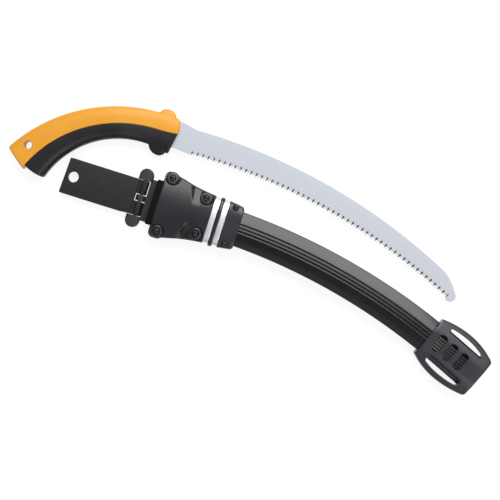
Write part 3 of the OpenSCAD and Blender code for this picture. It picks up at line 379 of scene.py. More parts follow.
def dress(tree, surface, colours, rough, mask, height, depth, strength=1.0):
    """Colour and roughness that run between two values as a mask does, and a bump of a depth in millimetres.
    Mask and height are (node, output) pairs."""
    tint = add(tree, "ShaderNodeMix", {"data_type": "RGBA"},
               {"A": linear(colours[0]), "B": linear(colours[1])}, {"Factor": mask})
    gloss = add(tree, "ShaderNodeMapRange", values={"To Min": rough[0], "To Max": rough[1]},
                links={"Value": mask})
    relief = add(tree, "ShaderNodeBump", values={"Strength": strength, "Distance": depth * MM},
                 links={"Height": height})
    tree.links.new(tint.outputs["Result"], surface.inputs["Base Color"])
    tree.links.new(gloss.outputs["Result"], surface.inputs["Roughness"])
    tree.links.new(relief.outputs["Normal"], surface.inputs["Normal"])


def moulded(name, dark, light, grain, depth, rough, cloud=18.0, drift=0.05, **values):
    """Moulded plastic or rubber: a fine grain of a given size and depth in millimetres left by the tool, and
    a slow drift of colour and gloss where the melt flowed."""
    made, tree, surface, place = shader(name, **values)
    fine = noise(tree, (place, "Object"), grain, 3.0)
    slow = noise(tree, (place, "Object"), cloud, 2.0)
    dress(tree, surface, (dark, light), (rough - drift, rough + drift), (slow, "Fac"), (fine, "Fac"), depth)
    return made


def pebbled(name, dark, light, pebble, depth, rough, drawn_out=0.45, duller=0.1):
    """Nylon moulded with a leather grain: rounded pebbles of a given size, drawn out along x, with fine,
    duller creases between them, painted darker as painted shade in the creases."""
    made, tree, surface, place = shader(name, Specular_IOR_Level=0.4)
    warp = noise(tree, (place, "Object"), 3 * pebble, 2.0)
    drawn = add(tree, "ShaderNodeMapping", values={"Scale": (drawn_out, 1, 1)},
                links={"Vector": (place, "Object")})
    cells = add(tree, "ShaderNodeTexVoronoi", {"feature": "DISTANCE_TO_EDGE"}, {"Scale": per(pebble)},
                {"Vector": (drawn, "Vector")})
    crease = add(tree, "ShaderNodeMapRange", {"interpolation_type": "SMOOTHSTEP"},
                 {"From Min": 0.02, "From Max": 0.32}, {"Value": (cells, "Distance")})
    height = add(tree, "ShaderNodeMath", {"operation": "MULTIPLY"},
                 links={0: (crease, "Result"), 1: (warp, "Fac")})
    # The creases take the darker colour: painted shade in the grain's hollows
    dress(tree, surface, (dark, light), (rough + duller, rough), (crease, "Result"), (height, "Value"), depth)
    return made


def worked_metal(name, dark, light, rough, line, stretch, depth=0.004, drift=0.06):
    """Metal with the fine lines that grinding, turning or polishing leaves: noise drawn out along one axis,
    the lines a given width in millimetres."""
    made, tree, surface, place = shader(name, Metallic=1.0)
    drawn = add(tree, "ShaderNodeMapping", values={"Scale": stretch}, links={"Vector": (place, "Object")})
    lines = noise(tree, (drawn, "Vector"), line, 4.0)
    mask = (lines, "Fac")
    dress(tree, surface, (dark, light), (rough - drift, rough + drift), mask, mask, depth, strength=0.6)
    return made


# Hard-chromed carbon steel, ground satin: pale and cool, with faint lines across the blade
blade_steel = worked_metal("ground_chromed_steel", "#CACED4", "#DBDEE3", 0.84, 1.2, (0.25, 1, 1))
# The same steel where the tooth bevels are ground bright and heat-tinted: darker and browner
bevel_steel = worked_metal("heat_tinted_tooth_bevel", "#7E7F85", "#9A938F", 0.3, 5.0, (1, 1, 1))
# Polypropylene moulded in a satin tool: warm orange, soft broad highlights
orange_shell = moulded("satin_orange_polypropylene", "#D8921F", "#DD9A29", 0.9, 0.012, 0.42,
                       IOR=1.49, Specular_IOR_Level=0.4)
# Thermoplastic rubber moulded over the grip: nearly black, slightly blue, with a soft sheen
grip_rubber = moulded("moulded_grip_elastomer", "#0B0A10", "#111017", 0.7, 0.007, 0.42,
                      IOR=1.5, Specular_IOR_Level=0.4)
# Glass-filled nylon moulded in a spark-eroded tool: dark grey, fine even grain, broad satin sheen
throat_nylon = moulded("satin_glass_nylon", "#151118", "#1B171F", 0.6, 0.016, 0.34, IOR=1.53)
# The same nylon from a smoother tool at the collar and the strap end: lighter, with a clearer sheen
end_nylon = moulded("satin_end_nylon", "#221F27", "#29262E", 0.6, 0.012, 0.31, IOR=1.53)
# Gloss-moulded polypropylene of the sheath: black with clear reflections
sheath_gloss = moulded("gloss_black_polypropylene", "#09060C", "#0E0B12", 2.5, 0.004, 0.17, IOR=1.49)
# Vulcanised rubber of the mouth lip: black rubber, painted darker still and given little sheen as painted
# shade for the recess round the mouth
lip_rubber_shade_black = moulded("lip_rubber_painted_shade_black", "#020203", "#050506", 0.8, 0.02, 0.75,
                     IOR=1.5, Specular_IOR_Level=0.15)
# Cast urethane of the rollers: dark grey, half matte
roller_rubber = moulded("cast_roller_urethane", "#17171A", "#1E1E22", 0.8, 0.01, 0.5, IOR=1.5)
# Nylon of the hanger, moulded with a leather grain: black, matte, pebbled, its creases darkened by painted
# shade
hanger_nylon = pebbled("leather_grained_nylon", "#0F0D12", "#18161B", 1.1, 0.08, 0.5)
# Nylon of the hinge bracket: dark grey, duller than the throat
bracket_nylon = moulded("satin_hinge_nylon", "#201E23", "#27252B", 0.6, 0.016, 0.46, IOR=1.53)
# Satin-polished aluminium bands: nearly white, with lines round the ring
band_metal = worked_metal("satin_polished_aluminium", "#EBE7F1", "#F5F2F9", 0.38, 0.5, (1, 0.05, 0.05), 0.002)
# Black-oxide steel of the visible screws: dark, oily, half matte
screw_black = worked_metal("black_oxide_steel", "#3A3A3F", "#4A4A50", 0.3, 0.6, (1, 1, 1))
# Turned steel of the pin, the axles, the rivets and the nuts: bright, with fine rings
pin_steel = worked_metal("turned_pin_steel", "#B4B6BA", "#CDCFD2", 0.28, 0.4, (0.2, 1, 1))
# Turned brass of the inserts: yellow, with fine rings
insert_brass = worked_metal("turned_brass", "#B58B3E", "#CFA755", 0.3, 0.4, (1, 1, 0.2))
# Plain moulded nylon of the handle's core: grey, half matte
core_nylon = moulded("natural_core_nylon", "#3A393C", "#444347", 0.8, 0.01, 0.5, IOR=1.53)


# Saw

TOOTH_STEP = math.degrees(TOOTH_PITCH / TOOTH_R)
TOOTH_A0 = math.degrees(math.asin((HEEL_LEN - TOOTH_C[0]) / TOOTH_R))
TOOTH_A1 = TOOTH_A0 + (TOOTH_COUNT - 1) * TOOTH_STEP
RIDGE_LEAN = 0.22 * TOOTH_STEP


def toothed(a, r):
    """Plan points about the tooth arc's centre."""
    return TOOTH_C + r[..., None] * heading(a)


def blade_plan():
    """The blade's body between two lines of matching points: heel, gullets' roots and nose below; the heel's
    S, the spine's arc and its run to the nose above. They match straight across at both ends of the teeth."""
    heel_n, edge_n, nose_n = 24, 180, 30
    low_a, tip_a, top_a, ease, pull = -138, -40, 20, 2, 0.8
    root_a = np.array([TOOTH_A0 - TOOTH_RAKE * TOOTH_STEP, TOOTH_A1 + RIDGE_LEAN])
    nose_a = TOOTH_A1 + math.degrees(NOSE_LEN / TOOTH_R)
    nose_c = TOOTH_C + (TOOTH_R + NOSE_R - NOSE_DROP) * heading(nose_a)
    x = np.linspace(-HEEL_IN, HEEL_LEN - TOOTH_RAKE * TOOTH_PITCH, heel_n)
    low_heel = np.stack([x, np.interp(x, [0, HEEL_LEN], [-HEEL_DROP, -BLADE_W / 2])], -1)
    low_edge = toothed(np.linspace(*root_a, edge_n), np.full(edge_n, TOOTH_R + TEETH_BAND))
    low_nose = arc(nose_c, NOSE_R, low_a, tip_a, nose_n)
    spine_x = np.array([HEEL_RUN, nose_c[0] - NOSE_RUN])
    spine_a = np.degrees(np.arcsin((spine_x - SPINE_C[0]) / SPINE_R))
    spine = SPINE_C + SPINE_R * heading(np.linspace(*spine_a, 400))
    x = np.linspace(-HEEL_IN, HEEL_RUN, 90)
    fall = smooth((x - ease) / (HEEL_RUN - 2 * ease))
    top_heel = np.stack([x, HEEL_TOP + (spine[0, 1] - HEEL_TOP) * fall], -1)
    run = spine[-1] + pull * NOSE_RUN * heading(spine_a[1])[::-1] * [1, -1]
    nose = arc(nose_c, NOSE_R, top_a, tip_a, nose_n)
    top = np.vstack([top_heel[:-1], spine, bend(spine[-1], run, nose[0], 90)[1:], nose[1:]])
    ends = zip(low_edge[[0, -1]], root_a)
    first, last = [abs((top - point) @ heading(a + 90)).argmin() for point, a in ends]
    parts = ((top[:first], heel_n), (top[first:last + 1], edge_n), (top[last + 1:], nose_n))
    return np.vstack([low_heel, low_edge, low_nose]), np.vstack([evenly(line, n) for line, n in parts])


def blade_body():
    """Plate that thins a little near the spine, its spine edges rounded."""
    low, high = blade_plan()
    width = np.linalg.norm(high - low, axis=1)[:, None]
    share = np.concatenate([np.linspace(0, 0.97, 12), [0.985, 0.992, 1.0]])
    plan = low[:, None] + (high - low)[:, None] * share[None, :, None]
    from_spine = (1 - share) * width
    half = BLADE_T / 2 - SPINE_THIN * smooth(1 - from_spine / SPINE_RUN) - fillet(from_spine, BLADE_T / 4)
    return slab(plan, half, -half)


def blade_teeth():
    """Strip of pull teeth, a hair thinner than the body: rows of bases inside it, gullets, tips and ridges.
    Bevels take turns: one tip lies at the back face, with two long front facets that slope to it from a
    ridge, and the next the other way round."""
    gullet_a = TOOTH_A0 + TOOTH_STEP * (np.arange(TOOTH_COUNT + 1) - TOOTH_RAKE)
    tip_a = TOOTH_A0 + TOOTH_STEP * np.arange(TOOTH_COUNT)
    rows = [(gullet_a, TEETH_BAND + TEETH_LAP), (gullet_a, GULLET_DEPTH),
            (tip_a, 0), (tip_a + RIDGE_LEAN, BEVEL_LEN)]
    plan = np.vstack([toothed(a, np.full(len(a), TOOTH_R + r)) for a, r in rows])
    base = np.arange(TOOTH_COUNT)
    gullet, tip, far = base + TOOTH_COUNT + 1, base + 2 * TOOTH_COUNT + 2, len(plan)
    ridge = tip + TOOTH_COUNT
    half = BLADE_T / 2 - TEETH_SINK
    front, back = np.full(far, half), np.full(far, -half)
    front[tip[::2]] = TIP_LAND - half
    back[tip[1::2]] = half - TIP_LAND
    points = np.vstack([np.column_stack([plan, front]), np.column_stack([plan, back])])
    face = np.array([[base, ridge, base + 1], [base, gullet, ridge], [ridge, gullet + 1, base + 1],
                     [gullet, tip, ridge], [tip, gullet + 1, ridge]]).transpose(2, 0, 1)
    edges = np.hstack([[gullet, tip], [tip, gullet + 1], [base + 1, base],
                       [[0], [TOOTH_COUNT + 1]], [[2 * TOOTH_COUNT + 1], [TOOTH_COUNT]]]).T
    rim = np.column_stack([edges, edges[:, ::-1] + far])
    bevelled = np.zeros((2, TOOTH_COUNT, 5), int)
    bevelled[0, ::2, 3:] = bevelled[1, 1::2, 3:] = 1
    faces = face.reshape(-1, 3).tolist() + (face[..., ::-1] + far).reshape(-1, 3).tolist() + rim.tolist()
    return points, faces, np.concatenate([bevelled.ravel(), np.zeros(len(rim), int)])


def guard_knob(a, height, span, inner=2.2, outer=0.65):
    """A guard's knob: nearly half an oval over its span, with powers near a circle's."""
    return height * (1 - np.clip(abs(a - GUARD_A) / span, 0, 1) ** inner) ** outer


def back_edge(a, knob=1):
    """Radius of the handle's back, with or without its knob."""
    return HANDLE_R + knob * guard_knob(a, GUARD_BACK_H, GUARD_BACK_A)


def grip_edge(a, knob=1):
    """Radius of the grip's inner edge, with or without its knob: where a ray from the handle's centre leaves
    the grip's circle."""
    offset = GRIP_C - HANDLE_C
    near = heading(a) @ offset
    edge = near + np.sqrt(GRIP_R ** 2 - offset @ offset + near ** 2)
    return edge - knob * guard_knob(a, GUARD_GRIP_H, GUARD_GRIP_A)


def handle_oval(a, r, knob):
    """Height of a flattened oval over the handle's width, as a share of its middle's."""
    back, grip = back_edge(a, knob), grip_edge(a, knob)
    across = np.clip(abs(2 * r - back - grip) / (back - grip), 0, 1)
    return (1 - across ** SKIN_POWER) ** (1 / SKIN_POWER)


def split_edge(a):
    """Radius of the seam between back and grip: falling towards the butt, a little lift at the front."""
    fall = BACK_FLARE * (np.maximum(0, -a) / BUTT_A) ** FLARE_POWER
    return HANDLE_R - BACK_W - fall + SEAM_LIFT * (np.maximum(0, a) / FRONT_A) ** 2


def handle_shell(edge, split_ends, edge_ends, butt_bow, corners, end_round):
    """One shell of the handle, from the seam to an outer edge and from front to butt. The ends' angles lean
    from seam to edge, the butt's by a power, with round corners. Its height is a flattened oval over the
    whole handle, or the knobs' thinner oval where that is higher, with round ends and a soft seam."""
    t = np.unique(np.concatenate([spread(0, 1, 150), np.linspace(0.03, 0.16, 60)]))[:, None]
    u = np.concatenate([[0, 0.004, 0.01, 0.02, 0.035], quarter(40, 4)])[None, :]
    ends = np.array(split_ends)
    wide = abs(edge(ends) - split_edge(ends))
    inset = [np.degrees(fillet((1 - u) * w, c) / HANDLE_R) for w, c in zip(wide, corners)]
    front = split_ends[0] + (edge_ends[0] - split_ends[0]) * u ** 2 - inset[0]
    butt = split_ends[1] + (edge_ends[1] - split_ends[1]) * u ** butt_bow + inset[1]
    a = front + (butt - front) * t
    seam, outer = split_edge(a), edge(a)
    r = seam + (outer - seam) * u
    thick = GUARD_T / 2 + (HANDLE_T - GUARD_T) / 2 * smooth(-a / SWELL_A)
    height = np.maximum(thick * handle_oval(a, r, 0), KNOB_T / 2 * handle_oval(a, r, 1))
    to_end = np.radians(np.minimum(front - a, a - butt)) * r
    closing = np.clip(1 - to_end / end_round, 0, 1)
    height = height * (1 - closing ** 3) ** (1 / 3) - np.minimum(fillet(abs(r - seam), SEAM_ROUND), height)
    height = np.maximum(height, 0)
    return slab(HANDLE_C + r[..., None] * heading(a), height, -height)


def lanyard_cut(flare=1.0, depth=HANDLE_T - 0.4):
    """A hole with mouths that flare to a rounded rim."""
    at = HANDLE_C + (HANDLE_R - LANYARD_IN) * heading(-LANYARD_A)
    a = np.radians(np.linspace(0, 90, 8))
    r = LANYARD_D / 2 + flare * (1 - np.cos(a))
    z = depth / 2 - flare + flare * np.sin(a)
    tall = depth / 2 + 2
    return lathe(at, [r[-1], *r[::-1], *r, r[-1]], [-tall, *-z[::-1], *z, tall])


def saw():
    """The blade and the two shells of its handle."""
    blade = [blade_body(), blade_teeth()]
    piece("blade_skin", blade, [blade_steel, bevel_steel], "saw", sharp=BLADE_SHARP)
    shell = handle_shell(back_edge, split_ends=(7.5, -60.7), edge_ends=(5.9, -59.2), butt_bow=1.0,
                         corners=(1.8, 2.6), end_round=2.2)
    back = piece("handle_back_skin", [shell], [orange_shell], "saw")
    drill(back, lanyard_cut(), SAW_AT)
    shell = handle_shell(grip_edge, split_ends=(7.3, -59.2), edge_ends=(6.9, -56.3), butt_bow=2.0,
                         corners=(2.4, 3.0), end_round=2.4)
    piece("rubber_grip_skin", [shell], [grip_rubber], "saw")


# Throat

def throat_side(x):
    """Half-width of the housing: a hollow flank, wider towards the mouth, a nick, and a round corner."""
    cubic, hollow, nick, nick_in, nick_out = 0.38, 1.6, 1.2, 0.75, 0.9
    t = np.clip((THROAT_X1 - x) / (THROAT_X1 - FLANK_X), 0, 1)
    wide = TAIL_HW + (MOUTH_HW - TAIL_HW) * ((1 - cubic) * t + cubic * t ** 3) - hollow * t * (1 - t)
    nicked = smooth((t - nick_in) / (1 - nick_in)) * (1 - smooth((t - nick_out) / (1 - nick_out)))
    return wide - nick * nicked - fillet(x - THROAT_X0, CORNER_R)


def throat_inside(x, y):
    """Distance inside the rim of the housing's plan: from the mouth, the round corner or the flank."""
    mouth, lean = x - THROAT_X0, 0.93
    flank = lean * (throat_side(x) + fillet(mouth, CORNER_R) - abs(y))
    corner = CORNER_R - np.hypot(np.maximum(CORNER_R - mouth, 0), np.maximum(CORNER_R - flank, 0))
    return np.where((mouth < CORNER_R) & (flank < CORNER_R), corner, np.minimum(mouth, flank))


def throat_grid():
    """Plan of the housing: rows along it, crowded at the ends, and columns across it, straight inside with a
    pair on each wall of the slot, fanning out to the flanks."""
    straight, hair = 20.0, 0.01
    x = np.unique(np.concatenate([spread(THROAT_X0, THROAT_X1, 60), np.linspace(THROAT_X0, THROAT_X1, 90)]))
    fan = straight + (MOUTH_HW - straight) * quarter(44)
    half = np.concatenate([np.linspace(0, THROAT_SLOT_HW - hair, 34),
                           np.linspace(THROAT_SLOT_HW + hair, straight, 8), fan[1:]])
    c = np.concatenate([-half[:0:-1], half])[None, :]
    x = x[:, None]
    grown = straight + (abs(c) - straight) * (throat_side(x) - straight) / (MOUTH_HW - straight)
    y = np.sign(c) * np.where(abs(c) > straight, grown, abs(c))
    return np.broadcast_to(x, y.shape), y


def finger_pocket(x, y):
    """Depth of the finger pockets: a slanting wall on the mouth's side, a floor that comes up at the tail
    boss, and a depth that grows outwards. The lower one is deeper and shorter."""
    wall_x, slant, steep, widen, low_y, high_y, start_y, fade = -33.6, 0.4, 1.6, 0.26, 10, 26, 8, 22
    out = abs(y)
    wall = x - wall_x - slant * np.maximum(high_y - out, 0)
    run = steep + widen * (np.clip(out, low_y, high_y) - low_y)
    sides = ((3.6, -21.5, 6), (6.0, -26.5, 9))
    floors = [depth * (1 - smooth((x - end) / rise)) for depth, end, rise in sides]
    return np.where(y > 0, *floors) * smooth(wall / run) * smooth((out - start_y) / fade)


def boss_moat(x, y, at, depth=0.9, width=2.2):
    """Hollow round a boss that sets it off from the dome, fading outwards."""
    away = np.hypot(x - at[0], abs(y - BOSS_SHIFT) - at[1]) - BOSS_POST_R
    return depth * (1 - smooth(away / width))


def throat_front_skin():
    """Domed front: a parabola across it, less the finger pockets and the bosses' hollows, with round rims.
    The blade slot is cut from below."""
    x, y = throat_grid()
    dome = THROAT_H - (THROAT_H - THROAT_EDGE_H) * (y / MOUTH_HW) ** 2
    rim = fillet(throat_inside(x, y), FRONT_RIM) + fillet(THROAT_X1 - x, TAIL_RIM)
    hollow = np.maximum(boss_moat(x, y, CORNER_BOSS), boss_moat(x, y, TAIL_BOSS))
    top = dome - rim - np.maximum(finger_pocket(x, y), hollow)
    floor = np.where(abs(y) < THROAT_SLOT_HW, SLOT_HH, 0.0)
    return slab(np.dstack([x, y + THROAT_SHIFT]), top, floor)


def throat_back_skin():
    """Back shell: flat in the middle, sloped at the flanks, with round rims."""
    x, y = throat_grid()
    flat, high, power = TAIL_HW - 1, 4.5, 1.4
    rise = high * np.clip((abs(y) - flat) / (MOUTH_HW - flat), 0, 1) ** power
    rim = fillet(throat_inside(x, y), BACK_RIM) + fillet(THROAT_X1 - x, TAIL_RIM)
    bottom = -THROAT_BACK + rise + rim
    roof = np.where(abs(y) < THROAT_SLOT_HW, -SLOT_HH, 0.0)
    return slab(np.dstack([x, y + THROAT_SHIFT]), roof, bottom)


def boss(at, top):
    """Round post that leans with the dome, its top edge a quarter oval, with a room for its screw's head."""
    foot, room, rim, floor = 0.2, SCREW_HEAD_R + 0.5, 0.3, top - 2.5
    a = np.radians(np.linspace(0, 90, 11))
    r = np.concatenate([[BOSS_POST_R], BOSS_POST_R - BOSS_ROUND[0] * (1 - np.cos(a))])
    z = np.concatenate([[foot], top - BOSS_ROUND[1] * (1 - np.sin(a))])
    points, faces = lathe(at, [*r, room + rim, room, room, POINT_R], [*z, top, top - rim, floor, floor])
    lean = BOSS_LEAN * (points[:, 1] - at[1]) * (points[:, 2] > foot)
    return points - lean[:, None] * [0, 0, 1], faces


def spigot(face, play=0.08, power=5.0, narrow=0.8, roof=7.6, lap=1.0):
    """Half of the hollow neck that carries the bands and takes in the sheath."""
    upper = squircle(BORE_HW - play, BORE_HH - play, power, 96)[:49]
    inner = np.stack([upper[::-1, 0] * narrow, np.minimum(upper[::-1, 1], roof)], -1)
    section = np.vstack([upper, inner]) * [1, face]
    x = np.array([THROAT_X1 - lap, BAND_X[3]])
    return tube(np.stack([np.column_stack([np.full(len(section), v), section]) for v in x]))


def socket_screw(at, top, low, r=SCREW_HEAD_R, shank=1.5):
    """Button-head screw: a shank, a domed head, and a six-sided socket sunk in it."""
    dome, dome_a, socket, rim = 0.9, 60, 0.44 * r, 1.1
    a = np.linspace(0, 2 * np.pi, 48, endpoint=False)
    hexagon = socket / np.cos((a + np.pi / 6) % (np.pi / 3) - np.pi / 6)
    turn = np.linspace(0, 1, 9)
    dome_r, dome_z = r * np.cos(np.radians(dome_a * turn)), top - dome + dome * np.sin(np.pi / 2 * turn)
    under, sunk = top - SCREW_HEAD_H, top - np.array([-0.05, 0.1, 1.3, 1.5])
    radii = [shank, shank, r, *dome_r, rim * hexagon, hexagon, hexagon, POINT_R]
    return lathe(at, radii, [low, under, under, *dome_z, *sunk], 48)


def mouth_lip(power=8.0, slot_power=16.0, wall=8.0, r=1.2):
    """Rubber ring round the mouth: an oval block with the slot through it."""
    outer = squircle(LIP_HW, (LIP_H - LIP_LOW) / 2, power, centre=(0, (LIP_H + LIP_LOW) / 2))
    inner = squircle(THROAT_SLOT_HW, SLOT_HH, slot_power)
    return tube(hoop(outer, inner, THROAT_X0 - LIP_LEN, THROAT_X0 + LIP_SEAT, wall, r), loop=True)


def throat():
    """The housing's two shells, its screws and the lip."""
    places = ((CORNER_BOSS, CORNER_BOSS_H), (TAIL_BOSS, TAIL_BOSS_H))
    bosses = shifted(both_sides(*[boss(at, top) for at, top in places]), BOSS_SHIFT)
    piece("throat_front_skin", [throat_front_skin(), spigot(1), *bosses], [throat_nylon])
    piece("throat_back_skin", [throat_back_skin(), spigot(-1)], [throat_nylon])
    screws = both_sides(*[socket_screw(at, top - SCREW_SINK, low=-6.0) for at, top in places])
    piece("throat_screws_skin", shifted(screws, BOSS_SHIFT), [screw_black])
    # The lip's near-black finish is painted shade for the shadowed recess round the mouth
    piece("mouth_lip_skin", [mouth_lip()], [lip_rubber_shade_black])


# Hinge and hanger

def rounded_box(low, high, r):
    """Block with soft edges: a grid crowded towards its rim, and heights that fall round it."""
    low, high = np.array(low, float), np.array(high, float)
    half, centre = (high - low) / 2, (high + low) / 2
    end = spread(0, 0.12, 9)
    steps = np.concatenate([end - 1, np.linspace(-0.8, 0.8, 15), 1 - end[::-1]])
    x, y = np.meshgrid(centre[0] + half[0] * steps, centre[1] + half[1] * steps, indexing="ij")
    fall = fillet(np.minimum(half[0] - abs(x - centre[0]), half[1] - abs(y - centre[1])), r)
    return slab(np.dstack([x, y]), high[2] - fall, low[2] + fall)


def knuckle(y0, y1, half, r=0.5):
    """Oval hinge barrel round the pin, its edges rounded."""
    sizes = ((half, KNUCKLE_R), (PIN_R, PIN_R))
    outer, inner = [squircle(*size, 2.0, 64, (HINGE_X, HINGE_Z)) for size in sizes]
    return tube(hoop(outer, inner, y0, y1, KNUCKLE_R - PIN_R, r)[..., [1, 0, 2]], loop=True)


def ear(at):
    """Round ear of the bracket, cut flat beside the hanger: a low roof along the pin, soft at its rim."""
    fall, top_r, low_r, cut_r = 0.08, 1.8, 0.8, 0.4
    y = EAR_IN + (EAR_Y + EAR_R - EAR_IN) * quarter(40)[:, None]
    half = np.sqrt(EAR_R ** 2 - np.clip(y - EAR_Y, 0, EAR_R) ** 2)
    c = quarter(41, -90)[None, :]
    x = at + c * half
    inside = EAR_R - np.hypot(x - at, np.maximum(y - EAR_Y, 0))
    soft = fillet(inside, top_r) + fillet(y - EAR_IN, cut_r)
    top = HINGE_Z + KNUCKLE_R - fall * abs(x - HINGE_X) - soft
    low = HINGE_Z - KNUCKLE_R + fillet(inside, low_r) + 0 * c
    return slab(np.dstack([x, y + 0 * c]), top, low)


def hinge_bracket():
    """Plate with a middle knuckle and two ears on webs, and a shelf under the lower knuckle's edge."""
    x0, x1 = HINGE_X + 3, BRACKET_X0 + 1
    shelf = ((BRACKET_X0 - 1.1, 0.5 - HANGER_HW, BRACKET_Z0 - 1.4), (x1, -KNUCKLE_HW - 1, BRACKET_Z0 + 0.3))
    flat = (((BRACKET_X0, -BRACKET_HW), (BRACKET_X1, BRACKET_HW), 0.7),
            ((x0, -KNUCKLE_HW), (x1, KNUCKLE_HW), 0.3), ((x0, EAR_IN), (x1, BRACKET_HW), 0.3))
    plate, web, arm = [rounded_box([*low, BRACKET_Z0], [*high, BRACKET_Z1], r) for low, high, r in flat]
    ears = [ear(EAR_X[0]), mirrored(ear(EAR_X[1]), 1)]
    middle_knuckle = knuckle(-KNUCKLE_HW, KNUCKLE_HW, MID_KNUCKLE_W)
    return [plate, web, rounded_box(*shelf, r=0.2), middle_knuckle, *both_sides(arm), *ears]


def hanger_cant(points, run=8.0):
    """The hanger's points with its free end cut a little aslant and its lower edge let out."""
    x, y, z = np.moveaxis(points, -1, 0)
    free = smooth((GAP_X0 - x) / (GAP_X0 - HANGER_X0))
    slant = HANGER_SLANT * free * (HANGER_HW - y) / (2 * HANGER_HW)
    out = smooth((GAP_X1 - x) / run) * np.maximum(0, -y / HANGER_HW)
    return np.stack([x - slant, y - HANGER_WIDER * out, z], -1)


def hanger():
    """Belt loop: a flat ring seen from its side, carried across its width, with two knuckles on webs."""
    low, web_h, start = -THROAT_BACK, 0.7 * KNUCKLE_R, KNUCKLE_HW + KNUCKLE_GAP
    sides = ((HANGER_X0, HANGER_X1, low, low + HANGER_T, 40.0),
             (GAP_X0, GAP_X1, low + BACK_PLATE, low + HANGER_T - FRONT_PLATE, 24.0))
    outer, inner = [squircle((x1 - x0) / 2, (z1 - z0) / 2, power, 240, ((x0 + x1) / 2, (z0 + z1) / 2))
                    for x0, x1, z0, z1, power in sides]
    ring = hoop(outer, inner, -HANGER_HW, HANGER_HW, wall=3.0, r=0.8)[..., [1, 0, 2]]
    web = rounded_box([HANGER_X1 - 1, start, HINGE_Z - web_h],
                      [HINGE_X - 3, HANGER_HW, HINGE_Z + web_h], r=0.4)
    loop = tube(hanger_cant(ring), loop=True)
    return [loop, *both_sides(knuckle(start, HANGER_HW, LOOP_KNUCKLE_W), web)]


def hanger_cut():
    """Round hole with a countersunk rim at both faces."""
    r, rim, low, high = HANGER_HOLE_R, 0.7, -THROAT_BACK, HANGER_T - THROAT_BACK
    at = (HANGER_X0 + HANGER_HOLE_IN, 0)
    return lathe(at, [r + rim, r + rim, r, r, r + rim, r + rim],
                 [low - 1, low, low + rim, high - rim, high, high + 1], 72)


def hinge():
    """The bracket and the hanger with its hole."""
    piece("hinge_bracket_skin", hinge_bracket(), [bracket_nylon])
    loop = piece("belt_hanger_skin", hanger(), [hanger_nylon], "hanger")
    drill(loop, hanger_cut(), SCABBARD_AT)


# Bands, collar, sheath and strap end

def band(x0, x1, hw, hh, r, power=2.8, bore_power=3.2):
    """Crowned ring round the spigot."""
    outer, inner = squircle(hw, hh, power), squircle(BORE_HW, BORE_HH, bore_power)
    return tube(hoop(outer, inner, x0, x1, hw - BORE_HW, r), loop=True)


def half_collar(face, power):
    """Half of the collar: a block that tapers to a round-cornered end, its crown flatter at high powers."""
    corner_r, rim_r, span, lip, least = 3.5, 1.3, 0.97, 0.6, 0.4
    x0, x1 = BAND_X[3], BAND_X[3] + COLLAR_LEN
    x = spread(x0, x1, 60)[:, None]
    c = quarter(121, -90)[None, :]
    side = COLLAR_HW + (COLLAR_END_HW - COLLAR_HW) * (x - x0) / COLLAR_LEN - fillet(x1 - x, corner_r)
    y = side * c
    crown = COLLAR_HH * (1 - (span * abs(c)) ** power) ** (1 / power) + 0 * x
    rim = np.minimum(np.minimum(x - x0 + lip, x1 - x), side - abs(y))
    top = np.maximum(crown - fillet(rim, rim_r), least)
    return slab(np.dstack([x + 0 * c, y]), face * top, 0 * y)


def collar_cut():
    """Flat-bottomed round pocket for a collar screw's head."""
    low, high = POCKET_FLOOR, COLLAR_HH + 2
    return lathe(COLLAR_SCREW, [POINT_R, POCKET_R, POCKET_R, POINT_R], [low, low, high, high])


def nut_room():
    """Six-sided room for a collar nut."""
    return lathe(NUT_AT, [NUT_ROOM_R, NUT_ROOM_R], [-COLLAR_HH - 2, NUT_FLOOR], 6)


def sheath_height(w):
    """Height of the sheath's front: convex shoulders, and between them a panel of ribs, each a slope that
    faces the upper shoulder and drops sharply into a flat groove."""
    bow, edge_r, panel_top, panel_low, wall, depth = 0.35, 0.8, 6.0, -4.4, 0.3, 0.7
    q = np.clip((abs(w) - PANEL_HW) / (SHEATH_HW - PANEL_HW), 0, 1)
    fall = (SHEATH_HH - SHEATH_EDGE_H) * ((1 - bow) * q + bow * q ** 2) + fillet(SHEATH_HW - abs(w), edge_r)
    groove = (1 - smooth((w - panel_top) / wall)) * smooth((w - panel_low) / wall)
    ribs = [np.where((w <= low) & (w > high), RIB_FOOT + RIB_SLOPE * (low - w), 0) for low, high in RIBS]
    return SHEATH_HH - fall - depth * groove + sum(ribs)


def tail_height(w, sink=1.3, rise=1.0, groove=1.4, groove_share=0.36):
    """Height of the sheath's front inside the strap end: even ribs that face up, parted by grooves."""
    phase = ((SHEATH_HW - w) / TAIL_RIB) % 1
    return SHEATH_HH - sink + rise * phase - groove * (phase < groove_share)


